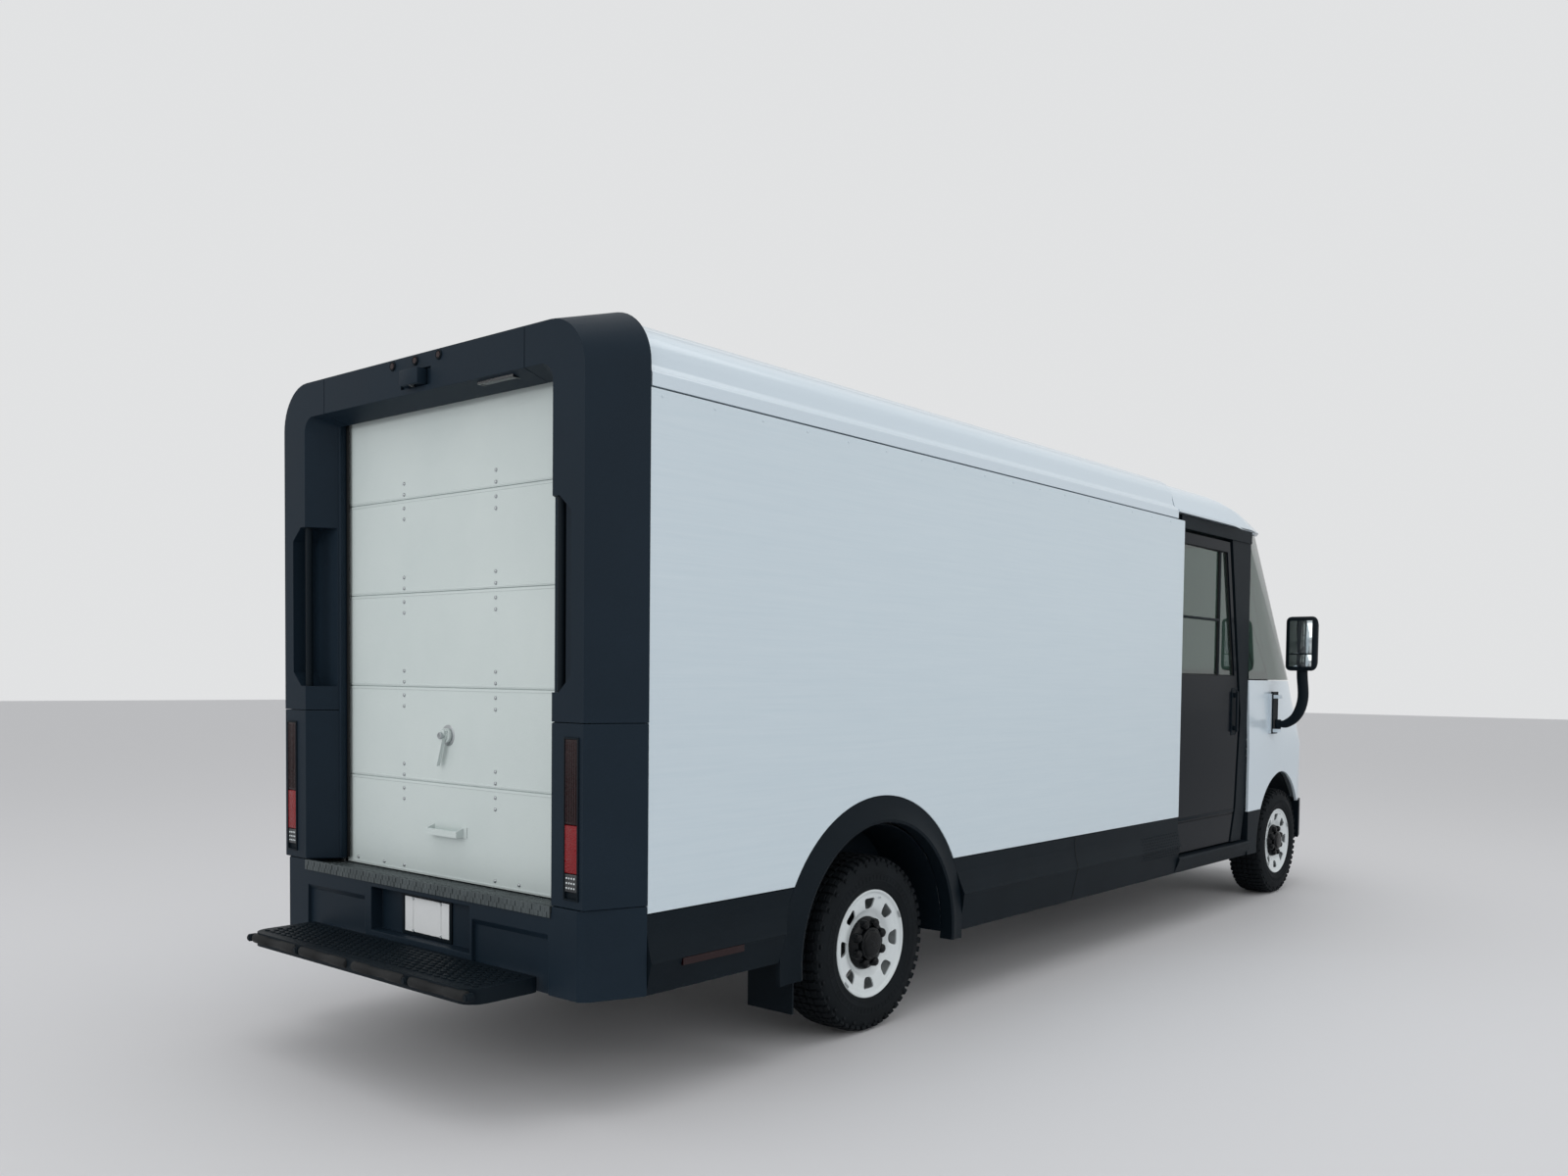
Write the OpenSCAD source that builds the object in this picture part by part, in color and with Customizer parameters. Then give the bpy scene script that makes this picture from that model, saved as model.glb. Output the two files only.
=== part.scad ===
// Walk-in mail delivery truck: cargo body with a roll-up sectional rear door,
// sliding cab doors, steered front wheels. X forward, Y left, Z up, on the ground.

/* [Overall] */
// Distance between the front and rear axles
wheelbase = 4636; // [3860:1:5600]
// Rear axle to the face of the rear portal
rear_overhang = 1482; // [1400:1:1900]
// Front axle to the nose
front_overhang = 894; // [860:1:1080]
// Width across the cargo side panels
body_w = 2040; // [1960:1:2460]
// Height of the roof's crown above the ground
roof_z = 2690; // [2600:1:3240]
// Length of the rear step behind the portal
step_d = 262; // [180:1:340]

/* [Wheels] */
// Outside diameter of a tyre
tyre_d = 724; // [690:1:740]
// Width of a tyre
tyre_w = 225; // [195:1:245]
// Outside diameter of a rim's flange
rim_d = 441; // [400:1:470]
// Distance between the outer faces of a pair of tyres
track_out = 1970; // [1890:1:1990]
// Radius of a wheel spindle
spindle_r = 30; // [24:1:40]
// Running clearance between spindle and hub
spindle_gap = 0.05; // [0.02:0.01:0.1]
// Radius of a wheel-arch opening at the rear
arch_r = 504; // [480:1:520]
// Radius of the moulding around the rear arch
arch_out_r = 612; // [590:1:640]
// Radius of a wheel-arch opening at the front
front_arch_r = 484; // [470:1:500]

/* [Cargo body] */
// Height of the load deck
deck_z = 672; // [640:1:700]
// Thickness of the load deck
deck_t = 22; // [12:1:30]
// Thickness of an outer side panel
panel_t = 22; // [12:1:30]
// Bottom edge of the side panels
panel_z0 = 664; // [640:1:690]
// Distance from the roof's crown down to the top of the side panels
rail_h = 301; // [280:1:340]
// Width of the gap between body panels
seam = 5; // [3:1:8]
// Thickness of the inner lining
lining_t = 12; // [8:1:20]
// Gap between side panel and lining, where a cab door slides
pocket_w = 91; // [80:1:110]
// Thickness of the roof skin
roof_t = 14; // [8:1:24]
// Depth of the rear portal along the body
portal_d = 208; // [190:1:240]
// How far each side of the portal tapers in at its rear face
portal_taper = 78; // [50:1:100]
// Height of the portal's rear face below the roof's crown
portal_drop = 90; // [70:1:120]
// Half width of the rear opening at the portal's face
mouth_half = 781; // [740:1:840]
// Half width of the rear opening at the door
throat_half = 681; // [640:1:720]
// Height of the header's lower edge below the roof's crown
header_drop = 227; // [210:1:260]

/* [Rear door] */
// Number of door sections
door_sections = 5; // [4:1:6]
// Thickness of a door section
door_t = 36; // [30:1:44]
// Door face to the portal's face
door_inset = 137; // [125:1:170]
// How far the door overlaps the throat on each side
door_lap = 19; // [10:1:25]
// Gap between door sections
section_gap = 3; // [2:1:5]
// Radius of the door rollers
roller_r = 22; // [18:1:25]
// Radius of the counterbalance shaft
shaft_r = 12.5; // [10:0.5:15]
// Height of the lock above the deck
lock_h = 546; // [480:1:620]
// Height of the pull handle above the deck
pull_h = 185; // [150:1:260]

/* [Cab] */
// Rear edge of the cab door opening, behind the front axle
door_aft = 1744; // [1650:1:1780]
// Front edge of the cab door at its widest, behind the front axle
door_fore = 786; // [740:1:820]
// Travel of a sliding cab door
cab_travel = 700; // [600:1:720]
// Thickness of a cab door
cab_door_t = 40; // [30:1:44]
// Clearance each side of a sliding door
slide_gap = 8; // [5:1:12]
// Bottom edge of the cab doors
cab_door_z0 = 440; // [425:1:470]
// Sill of the cab door window
window_z0 = 1500; // [1420:1:1540]
// Top of the belt line, where glass meets fender
belt_z = 1475; // [1440:1:1490]
// Bulkhead behind the front axle
bulkhead_aft = 2486; // [2440:1:2560]
// Height of the cab floor
cab_floor_z = 545; // [530:1:560]

/* [Controls] */
// Diameter of the steering wheel
wheel_rim_d = 400; // [360:1:440]
// Distance of the driver's seat and wheel from the centre line
driver_y = 450; // [380:1:480]

/* [Hidden] */
$fn = 48;

length = step_d + rear_overhang + wheelbase + front_overhang;
half_w = body_w / 2;
x_tail = -length / 2;
x_portal = x_tail + step_d;
x_rear = x_portal + rear_overhang;
x_front = x_rear + wheelbase;
x_nose = length / 2;
x_panel0 = x_portal + portal_d;
x_panel1 = x_front - door_aft;
x_bulkhead = x_front - bulkhead_aft;
axle_z = tyre_d / 2;
track_mid = track_out / 2 - tyre_w / 2;
panel_z1 = roof_z - rail_h;
panel_in = half_w - panel_t;
lining_out = half_w - panel_t - pocket_w;
lining_in = lining_out - lining_t;
cab_door_out = panel_in - slide_gap;
cab_door_in = cab_door_out - cab_door_t;

// Rear door: a bar whose ends run in a vertical and a horizontal track, which is a
// half-length arm about the tracks' corner and a hinge at the bar's middle.
door_x0 = x_portal + door_inset;
door_xm = door_x0 + door_t / 2;
door_z0 = deck_z + 6;
header_z = roof_z - header_drop;
track_z = roof_z - 178;
top_reach = 34;
foot_reach = 22;
door_z1 = track_z - top_reach;
foot_z = door_z0 + foot_reach;
section_h = (door_z1 - door_z0) / door_sections;
door_half = throat_half + door_lap;
throat_x = door_x0 - 17;
roller_y = door_half + 12;
roller_w = 20;
lock_z = deck_z + lock_h;

// Portal sections
portal_half = half_w - portal_taper;
portal_top = roof_z - portal_drop;
portal_front_top = roof_z - 34;
panel_seam_z = deck_z + 622;
bumper_top = deck_z + 17;
bumper_z0 = 390;
portal_wall = 16;

// Cladding section
clad_z0 = 330;
ledge_z = 500;
ledge_out = 20;
clad_t = 18;

// Glass and nose
glass_top_z = roof_z - 260;
glass_t = 6;
glass_dx = 800;
glass_dz = glass_top_z - belt_z - 5;
glass_tilt = atan2(glass_dz, glass_dx);
x_glass0 = x_front + 634;
glass_flat = 650;
jamb_fore = x_front - 650;

// Front end plan, half outline from the jamb to the centre, at the belt
function nose_plan(inset = 0, fore = 0) = [
  [jamb_fore, half_w - 22 - inset],
  [x_front - 136, half_w - 35 - inset],
  [x_front + 184 + fore, half_w - 75 - inset],
  [x_front + 404 + fore, half_w - 140 - inset],
  [x_front + 544 + fore, half_w - 240 - inset],
  [x_front + 624 + fore, glass_flat - inset / 2],
  [x_glass0 + fore, glass_flat - 90 - inset / 2]
];

// The same outline at the top of the glass
function brow_plan(inset = 0, fore = 0) = [
  [jamb_fore - 20, half_w - 52 - inset],
  [x_front - 436 + fore, half_w - 90 - inset],
  [x_front - 296 + fore, half_w - 155 - inset],
  [x_front - 206 + fore, half_w - 250 - inset],
  [x_front - 176 + fore, glass_flat - inset / 2],
  [x_glass0 - glass_dx + fore, glass_flat - 90 - inset / 2]
];

function flip(points) = [for (i = [len(points) - 1:-1:0]) [points[i][0], -points[i][1]]];

module both_sides() {
  children();
  mirror([0, 1, 0]) children();
}

module box(low, high) {
  translate(low) cube(high - low);
}

// A flat outline in X and Z, given thickness from y0 to y1
module prism_y(y0, y1) {
  translate([0, y1, 0]) rotate([90, 0, 0]) linear_extrude(y1 - y0) children();
}

// A flat outline in Y and Z, given length from x0 to x1
module prism_x(x0, x1) {
  translate([x0, 0, 0]) rotate([90, 0, 90]) linear_extrude(x1 - x0) children();
}

module disc_y(x, z, r, y0, y1) {
  translate([x, y1, z]) rotate([90, 0, 0]) cylinder(r = r, h = y1 - y0);
}

module disc_x(y, z, r, x0, x1) {
  translate([x0, y, z]) rotate([0, 90, 0]) cylinder(r = r, h = x1 - x0);
}

module round_box(x0, x1, y0, y1, r, h) {
  linear_extrude(h) {
    translate([x0 + r, y0]) square([x1 - x0 - 2 * r, y1 - y0]);
    translate([x0, y0 + r]) square([x1 - x0, y1 - y0 - 2 * r]);
    for (x = [x0 + r, x1 - r], y = [y0 + r, y1 - r]) translate([x, y]) circle(r);
  }
}

// Ladder frame

rail_y0 = 430;
rail_y1 = 500;
rail_z0 = 410;
rail_z1 = 510;
beam_w = 60;
kingpin_y = track_mid - 150;
kingpin_r = 34;

module chassis_frame() color("#2a2c2e") {
  beam_z1 = deck_z - deck_t;
  both_sides() difference() {
    box([x_portal + 90, rail_y0, rail_z0], [x_nose - 260, rail_y1, rail_z1]);
    box([x_portal + 80, rail_y0 - 1, rail_z0 + 8], [x_nose - 250, rail_y1 - 8, rail_z1 - 8]);
  }
  for (i = [0:7]) {
    x = x_panel0 + 60 + i * (x_bulkhead - x_panel0 - 180) / 7;
    near_wheel = abs(x + beam_w / 2 - x_rear) < well_half + beam_w;
    reach = near_wheel ? well_y0 - 24 : lining_in - 8;
    box([x, -reach, rail_z1], [x + beam_w, reach, beam_z1]);
  }
  for (x = [x_portal + 100, x_front + 300]) {
    box([x, -rail_y0, rail_z0 + 20], [x + beam_w, rail_y0, rail_z1 - 20]);
  }
  both_sides() front_axle_arms();
}

// Plates that hold the upper and lower end of a steering knuckle's pin
module front_axle_arms() difference() {
  union() {
    box([x_front - 40, rail_y1 - 20, axle_z - 116], [x_front + 40, rail_y1, rail_z0 + 4]);
    for (z = [axle_z - 116, axle_z + 100]) {
      box([x_front - 40, rail_y1 - 4, z], [x_front + 40, kingpin_y + 46, z + 16]);
    }
  }
  translate([x_front, kingpin_y, axle_z - 130]) cylinder(r = kingpin_r + spindle_gap, h = 260);
}

battery_half = 424;

module battery_pack() color("#5c6166") difference() {
  box([x_rear + 520, -battery_half, 300], [x_front - 760, battery_half, rail_z1 - 5]);
  for (i = [1:5]) {
    x = x_rear + 520 + i * (wheelbase - 1280) / 6;
    box([x, -battery_half - 1, 295], [x + 20, battery_half + 1, 312]);
  }
}

// Rear drive axle with its coil springs

module rear_axle() color("#3a3d40") {
  hub_in = track_mid - 78;
  disc_y(x_rear, axle_z, 38, -hub_in, hub_in);
  disc_y(x_rear, axle_z, 138, -150, 150);
  disc_y(x_rear, axle_z, 90, -210, 210);
  both_sides() {
    disc_y(x_rear, axle_z, 88, hub_in - 30, hub_in);
    disc_y(x_rear, axle_z, spindle_r, hub_in, track_mid + 60);
    translate([x_rear - 120, 580, axle_z - 20]) cylinder(r = 52, h = deck_z - deck_t - axle_z + 20 - 140);
    box([x_rear - 180, 550, axle_z - 34], [x_rear, 610, axle_z - 20]);
  }
}

// Load deck with a box over each rear wheel

well_half = 470;
well_z = 880;
well_y0 = track_mid - tyre_w / 2 - 45;

module cargo_floor() color("#8d8f8e") {
  difference() {
    box([door_x0 + door_t + 1, -lining_in, deck_z - deck_t], [x_bulkhead, lining_in, deck_z]);
    both_sides() box(
      [x_rear - well_half, well_y0, 0],
      [x_rear + well_half, lining_in + 1, deck_z + 1]
    );
  }
  both_sides() difference() {
    box([x_rear - well_half - 12, well_y0 - 12, deck_z - deck_t], [x_rear + well_half + 12, lining_out, well_z]);
    box([x_rear - well_half, well_y0, deck_z - deck_t - 1], [x_rear + well_half, lining_out + 1, well_z - 12]);
  }
}

module inner_walls() color("#b9bdbc") both_sides() difference() {
  box([x_panel0 + 20, lining_in, deck_z + 2], [x_bulkhead, lining_out, band_z1 + 100]);
  box([x_rear - well_half - 14, lining_in - 1, deck_z], [x_rear + well_half + 14, lining_out + 1, well_z + 2]);
}

// Composite side panel, cut round the wheel-arch moulding

module side_panel() difference() {
  prism_y(panel_in, half_w) difference() {
    translate([x_panel0, panel_z0]) square([x_panel1 - x_panel0, panel_z1 - panel_z0]);
    translate([x_rear, axle_z]) circle(arch_out_r + 1, $fn = 96);
  }
}

module side_panel_left() color("#dfe9ef") side_panel();
module side_panel_right() color("#dfe9ef") mirror([0, 1, 0]) side_panel();

// Roof: crowned skin over a pair of rails, each a flat band, a ledge and a cove

band_z1 = panel_z1 + 52;

function rail_outer() = [
  [half_w, panel_z1 + seam],
  [half_w, band_z1 - 6],
  [half_w - 6, band_z1 + 6],
  [half_w - 24, band_z1 + 18],
  [half_w - 36, band_z1 + 34],
  [half_w - 42, band_z1 + 62],
  [half_w - 46, band_z1 + 92],
  [half_w - 58, band_z1 + 124],
  [half_w - 84, band_z1 + 154],
  [half_w - 124, band_z1 + 178],
  [half_w - 190, band_z1 + 200],
  [half_w - 320, band_z1 + 222],
  [half_w - 560, band_z1 + 240]
];

function rail_inner() = [
  for (i = [len(rail_outer()) - 1:-1:4]) rail_outer()[i] - [8, roof_t],
  [half_w - 52, band_z1 + 20],
  [half_w - 40, panel_z1 + 40],
  [half_w - panel_t, panel_z1 + seam]
];

module cargo_roof() color("#e2ebf0") {
  crown = [[0, roof_z]];
  under = [[0, roof_z - roof_t]];
  half = concat(rail_outer(), crown, under, rail_inner());
  both_sides() prism_x(x_panel0 + seam, x_panel1 - 90) polygon(half);
}

// Cab roof: the rail's band carried round the brow, and a dome above it

// Height above the band, distance back from the brow, and inset of each layer
dome_steps = [
  [18, 30, 24], [62, 130, 42], [92, 220, 46], [124, 310, 58], [154, 430, 84],
  [178, 540, 124], [200, 680, 190], [222, 880, 320], [238, 1080, 540]
];

x_brow = x_glass0 - glass_dx;
x_cab_roof = x_panel1 - 84;

module brow_outline(inset) {
  line = brow_plan(inset, -inset / 2);
  rear = [[x_cab_roof, half_w - inset], [x_front - 1000, half_w - inset]];
  half = concat(rear, line);
  polygon(concat(half, flip(half)));
}

module dome_layer(step, wall) {
  half = half_w - step[2] - wall;
  x1 = x_brow - step[1] - wall;
  corner = min(half - 40, 300);
  line = [
    [x_cab_roof, half], [max(x_cab_roof, x1 - 460), half], [max(x_cab_roof, x1 - 250), half - corner * 0.12],
    [x1 - 110, half - corner * 0.34], [x1 - 30, half - corner * 0.66], [x1, half - corner]
  ];
  polygon(concat(line, flip(line)));
}

module cab_dome(wall, drop) hull() for (s = dome_steps) {
  translate([0, 0, band_z1 + s[0] - drop]) linear_extrude(2) dome_layer(s, wall);
}

module cab_roof() color("#e2ebf0") {
  difference() {
    translate([0, 0, panel_z1 + seam + 40]) linear_extrude(band_z1 - panel_z1 - seam - 34) brow_outline(0);
    translate([0, 0, panel_z1]) linear_extrude(band_z1) brow_outline(44);
    translate([0, 0, panel_z1]) linear_extrude(band_z1) dome_layer([0, 60, 60], 0);
  }
  difference() {
    cab_dome(0, 16);
    cab_dome(14, 34);
  }
}

// Rear portal: a tapered ring round the opening

module portal_section(half, top, r, thick) {
  z0 = panel_seam_z + 2;
  translate([0, 0, z0]) rotate([90, 0, 90]) linear_extrude(thick) {
    translate([-half, 0]) square([2 * half, top - z0 - r]);
    translate([r - half, 0]) square([2 * (half - r), top - z0]);
    for (y = [r - half, half - r]) translate([y, top - z0 - r]) circle(r);
  }
}

module mouth_section(half, top, r, thick) {
  translate([0, 0, 0]) rotate([90, 0, 90]) linear_extrude(thick) {
    translate([-half, 0]) square([2 * half, top - r]);
    translate([r - half, 0]) square([2 * (half - r), top]);
    for (y = [r - half, half - r]) translate([y, top - r]) circle(r);
  }
}

pocket_z0 = panel_seam_z + 98;
pocket_z1 = panel_seam_z + 736;
pocket_y1 = mouth_half + 94;
pocket_x1 = x_portal + 96;

module grip_pocket() {
  prism_x(x_portal - 1, pocket_x1) polygon([
    [throat_half - 60, pocket_z0], [mouth_half + 34, pocket_z0],
    [pocket_y1, pocket_z0 + 56], [pocket_y1, pocket_z1 - 52],
    [mouth_half + 34, pocket_z1], [throat_half - 60, pocket_z1]
  ]);
}

header_half = 630;

module rear_portal() color("#2b3640") difference() {
  hull() {
    translate([x_portal, 0, 0]) portal_section(portal_half, portal_top, 176, 1);
    translate([x_panel0 - 1, 0, 0]) portal_section(half_w + 1, portal_front_top, 190, 1);
  }
  hull() {
    translate([x_portal - 1, 0, 0]) mouth_section(mouth_half, header_z, 60, 1);
    translate([throat_x, 0, 0]) mouth_section(throat_half, header_z - 37, 30, 1);
  }
  hull() {
    translate([throat_x - 20, 0, 0]) mouth_section(half_w - 62, portal_front_top - 40, 150, 1);
    translate([x_panel0 + 1, 0, 0]) mouth_section(half_w - 25, portal_front_top - 20, 170, 1);
  }
  both_sides() {
    grip_pocket();
    box([x_portal - 1, header_half, header_z - 60], [x_panel0 + 1, header_half + 3, roof_z]);
  }
  box([x_portal - 2, -95, track_z - 28], [x_portal + 12, 95, track_z + 34]);
}

// Lower lamp panels carry on the pillars down to the bumper

lamp_y0 = portal_half - 90;
lamp_y1 = portal_half - 24;
lamp_z0 = bumper_top + 32;
lamp_z1 = panel_seam_z - 48;

module pillar_plan(inset) {
  polygon([
    [x_portal + inset, mouth_half + inset * 0.6], [x_portal + inset, portal_half - inset * 0.8],
    [x_panel0 + inset / 8, half_w + 1 - inset], [x_panel0 + inset / 8, half_w - 24 - inset / 8],
    [throat_x + inset / 8, half_w - 120], [throat_x + inset / 8, throat_half + inset]
  ]);
}

module lamp_panels() color("#2b3640") both_sides() difference() {
  translate([0, 0, bumper_top + 2]) linear_extrude(panel_seam_z - bumper_top - 2) pillar_plan(0);
  translate([0, 0, bumper_top + 20]) linear_extrude(panel_seam_z - bumper_top - 40) pillar_plan(portal_wall);
  box([x_portal - 1, lamp_y0, lamp_z0], [x_portal + 15, lamp_y1, lamp_z1]);
}

module tail_lamps() color("#7d1116") both_sides() {
  box([x_portal - 4, lamp_y0 + 0.5, lamp_z0 + 0.5], [x_portal + 15, lamp_y1 - 0.5, lamp_z1 - 0.5]);
}

// Rear bumper wraps the lower corners and holds the plate in a recess

plate_w = 305;
plate_h = 152;
plate_z = 545;
recess_x = x_portal + 50;
step_z = 445;

module bumper_plan(inset) {
  half = [
    [x_portal + inset, portal_half - 30 - inset / 2], [x_portal + 16 + inset, portal_half - 6 - inset],
    [x_panel0, half_w - inset]
  ];
  polygon(concat(half, flip(half)));
}

module rear_bumper() color("#27313a") difference() {
  translate([0, 0, bumper_z0]) linear_extrude(bumper_top - bumper_z0) bumper_plan(0);
  translate([0, 0, bumper_z0 - 1]) linear_extrude(bumper_top - bumper_z0 + 2) difference() {
    bumper_plan(20);
    translate([x_portal - 10, -half_w]) square([door_inset - 30, body_w]);
  }
  translate([0, 0, bumper_z0 - 1]) linear_extrude(bumper_top - bumper_z0 - 42) difference() {
    bumper_plan(20);
    translate([x_portal - 10, -half_w]) square([74, body_w]);
  }
  box([x_portal - 1, -330, 466], [recess_x, 300, 632]);
  both_sides() prism_y(345, mouth_half - 16) polygon([
    [x_portal - 1, bumper_z0 - 1], [x_portal + 14, bumper_z0 - 1],
    [x_portal + 14, deck_z - 100], [x_portal - 1, deck_z - 78]
  ]);
  box([x_portal - 1, -mouth_half, deck_z - 4], [door_x0, mouth_half, bumper_top + 1]);
  both_sides() box([x_portal - 1, 299.5, bumper_z0 - 1], [x_portal + 100, 360.5, step_z - 7.5]);
}

module licence_plate() color("#e8ebec") difference() {
  box([recess_x - 3, -plate_w / 2, plate_z - plate_h / 2], [recess_x, plate_w / 2, plate_z + plate_h / 2]);
  for (y = [-89, 89], z = [-60.5, 60.5]) disc_x(y, plate_z + z, 3.5, recess_x - 4, recess_x + 1);
}

module sill_plate() color("#80868a") {
  y = mouth_half - 1;
  prism_y(-y, y) polygon([
    [x_portal - 6, deck_z - 22], [x_portal, deck_z - 22], [x_portal, deck_z - 4],
    [door_x0 + door_t, deck_z - 4], [door_x0 + door_t, deck_z], [x_portal + 60, deck_z + 2],
    [x_portal - 6, deck_z + 18]
  ]);
}

// Step across the tail on two arms from the frame

step_half = 715;
step_skirt = 52;

module rear_step() color("#1e2226") {
  difference() {
    translate([0, 0, step_z - step_skirt]) round_box(x_tail, x_portal + 40, -step_half, step_half, 70, step_skirt);
    translate([0, 0, step_z - step_skirt - 1]) round_box(
      x_tail + 8, x_portal + 60, 8 - step_half, step_half - 8, 62, step_skirt - 7
    );
    box([x_portal - 2, -step_half - 1, 0], [x_portal + 60, step_half + 1, step_z + 1]);
  }
  both_sides() box([x_tail + 60, 300, step_z - 48], [x_portal + 90, 360, step_z - 8]);
}

module grab_handles() color("#111417") both_sides() {
  y = mouth_half + 16;
  x = x_portal + 26;
  translate([x, y, pocket_z0]) cylinder(r = 14, h = pocket_z1 - pocket_z0);
}

module marker_lamps() color("#8e1a1c") {
  for (y = [-146, 0, 146]) disc_x(y, portal_top - 22, 11, x_portal - 5, x_portal);
  both_sides() reflector(0);
}

module reflector(gap) {
  y = half_w + ledge_out;
  box([x_panel0 + 144 - gap, y - 16 - gap, ledge_z - 27 - gap], [x_panel0 + 444 + gap, y + 1 + gap, ledge_z - 2 + gap]);
}

module rear_camera() color("#15181b") {
  prism_y(-58, 58) polygon([
    [x_portal + 12, track_z - 26], [x_portal - 22, track_z - 26],
    [x_portal - 26, track_z + 2], [x_portal - 4, track_z + 32], [x_portal + 12, track_z + 32]
  ]);
  disc_x(0, track_z - 12, 14, x_portal - 32, x_portal - 24);
}

// Lower cladding: an extruded rocker, the flared rear arch, and a mud flap

function clad_section() = [
  [half_w - 3, panel_z0 - 4], [half_w - 3, panel_z0 - 62], [half_w + 3, panel_z0 - 104],
  [half_w + ledge_out - 5, ledge_z + 12], [half_w + ledge_out, ledge_z],
  [half_w + ledge_out - 6, ledge_z - 14], [half_w - 20, clad_z0], [half_w - 20 - clad_t, clad_z0],
  [half_w - 26 + 4, ledge_z - 40], [half_w - 22, panel_z0 - 4]
];

function sill_section() = [
  [cab_door_in - 30, cab_door_z0 - 10], [half_w + 10, cab_door_z0 - 14], [half_w + 14, cab_door_z0 - 26],
  [half_w - 20, clad_z0], [cab_door_in - 30, clad_z0]
];

arch_section = [
  [arch_out_r, half_w - 3], [arch_out_r - 36, half_w], [arch_out_r - 70, half_w + 10],
  [arch_r + 12, half_w + ledge_out], [arch_r, half_w + ledge_out - 4], [arch_r, half_w - 45],
  [arch_r + 8, half_w - 45], [arch_r + 8, half_w - 12], [arch_out_r - 60, half_w - 22], [arch_out_r, half_w - 22]
];

module arch_ring() {
  translate([x_rear, 0, axle_z]) rotate([-90, 0, 0]) rotate([0, 0, -186])
    rotate_extrude(angle = 192, $fn = 96) polygon(arch_section);
}

module cladding_side() {
  end_x = jamb_fore + 6;
  difference() {
    prism_x(x_panel0 + 1, x_panel1) polygon(clad_section());
    disc_y(x_rear, axle_z, arch_out_r + 1, 0, half_w + 100, $fn = 96);
    box([x_panel0, 0, 0], [x_rear, half_w + 100, bumper_z0]);
    reflector(0.5);
  }
  arch_ring();
  prism_x(x_panel1, end_x) polygon(sill_section());
  difference() {
    box([end_x, cab_door_in - 30, clad_z0], [x_front - 380, half_w - 8, panel_z0 - 50]);
    disc_y(x_front, axle_z, front_arch_r, 0, half_w + 100);
    box([end_x + 16, 0, clad_z0 - 1], [x_front, half_w - 26, panel_z0]);
  }
  box(
    [x_rear - arch_r - 4, track_mid - tyre_w / 2, 170],
    [x_rear - arch_r + 4, half_w - 30, axle_z + 60]
  );
}

module lower_cladding() color("#20282e") both_sides() cladding_side();

// Nose shell, leaning forward below the belt; fenders, lid and grille are cut from it

wing_t = 16;
nose_z1 = 1020;
lid_half = 690;
nose_fore = front_overhang - 654;
bumper_top_z = 612;

module nose_layer(z, inset, fore) {
  line = nose_plan(inset, fore - inset);
  translate([0, 0, z]) linear_extrude(1) polygon(concat(line, flip(line)));
}

module nose_shell(proud) difference() {
  hull() {
    nose_layer(belt_z - 3, -proud, 0);
    nose_layer(nose_z1, -15 - proud, nose_fore - 15);
    nose_layer(bumper_top_z + 2, -15 - proud, nose_fore - 15);
  }
  hull() {
    nose_layer(belt_z + 6, wing_t, 0);
    nose_layer(nose_z1, wing_t - 15, nose_fore - 15);
    nose_layer(bumper_top_z, wing_t - 15, nose_fore - 15);
  }
}

module fenders() color("#dfe9ef") {
  difference() {
    nose_shell(0);
    both_sides() disc_y(x_front, axle_z, front_arch_r, 100, half_w + 50, $fn = 96);
    box([0, -lid_half, 0], [x_nose + 50, lid_half, belt_z + 10]);
  }
  both_sides() mirror_bracket();
}

// Bracket with two lugs for the pins of a mirror arm
mirror_x = x_front - 240;
mirror_y = half_w + 26;
mirror_pin_r = 9;

module mirror_bracket() {
  box([mirror_x - 46, half_w - 36, 1116], [mirror_x + 46, half_w - 6, 1384]);
  difference() {
    for (z = [1124, 1353]) {
      box([mirror_x - 24, half_w - 8, z], [mirror_x + 24, mirror_y, z + 23]);
      translate([mirror_x, mirror_y, z]) cylinder(r = 24, h = 23);
    }
    translate([mirror_x, mirror_y, 1100]) cylinder(r = mirror_pin_r + spindle_gap, h = 300);
  }
}

// Bumper and grille panel, both black, with slots for air and lamps

module bumper_bar(inset) {
  line = nose_plan(inset - 20, front_overhang - 634 - inset);
  intersection() {
    polygon(concat(line, flip(line)));
    translate([x_front + 496 + inset, -half_w]) square([front_overhang, body_w]);
  }
}

module front_panel() color("#15181b") {
  difference() {
    translate([0, 0, 340]) linear_extrude(bumper_top_z - 340) bumper_bar(0);
    translate([0, 0, 339]) linear_extrude(bumper_top_z - 338) bumper_bar(22);
    box([x_front + 480, -half_w + 130, 339], [x_front + 700, half_w - 130, bumper_top_z + 1]);
    box([x_nose - 60, -340, 420], [x_nose + 1, 340, 500]);
  }
  difference() {
    intersection() {
      nose_shell(6);
      box([x_front + 300, seam - lid_half, bumper_top_z + 4], [x_nose, lid_half - seam, nose_z1 - seam]);
    }
    both_sides() box([x_front + 400, 330, 886], [x_nose + 1, lid_half - 24, 950]);
  }
}

module headlamps() color("#cfd8dc") intersection() {
  nose_shell(2);
  both_sides() box([x_front + 402, 332, 888], [x_nose, lid_half - 26, 948]);
}

// One-piece wrap-round windscreen, flat across the middle

module glass_solid(inset) hull() {
  line = nose_plan(inset, -inset);
  translate([0, 0, belt_z + 5]) linear_extrude(1) polygon(concat(line, flip(line)));
  top = brow_plan(inset, -inset);
  translate([0, 0, glass_top_z]) linear_extrude(1) polygon(concat(top, flip(top)));
}

cowl_h = 66;

module windscreen() color("#9fb4ad") difference() {
  glass_solid(0);
  glass_solid(glass_t);
  box([0, -half_w, belt_z + 3], [jamb_fore - 4, half_w, glass_top_z + 3]);
  box([x_front + 500, -glass_flat, belt_z], [x_nose, glass_flat, belt_z + cowl_h]);
}

// Cab frame: door headers, jambs, brow and cowl cross members

frame_out = half_w - 26;

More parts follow.
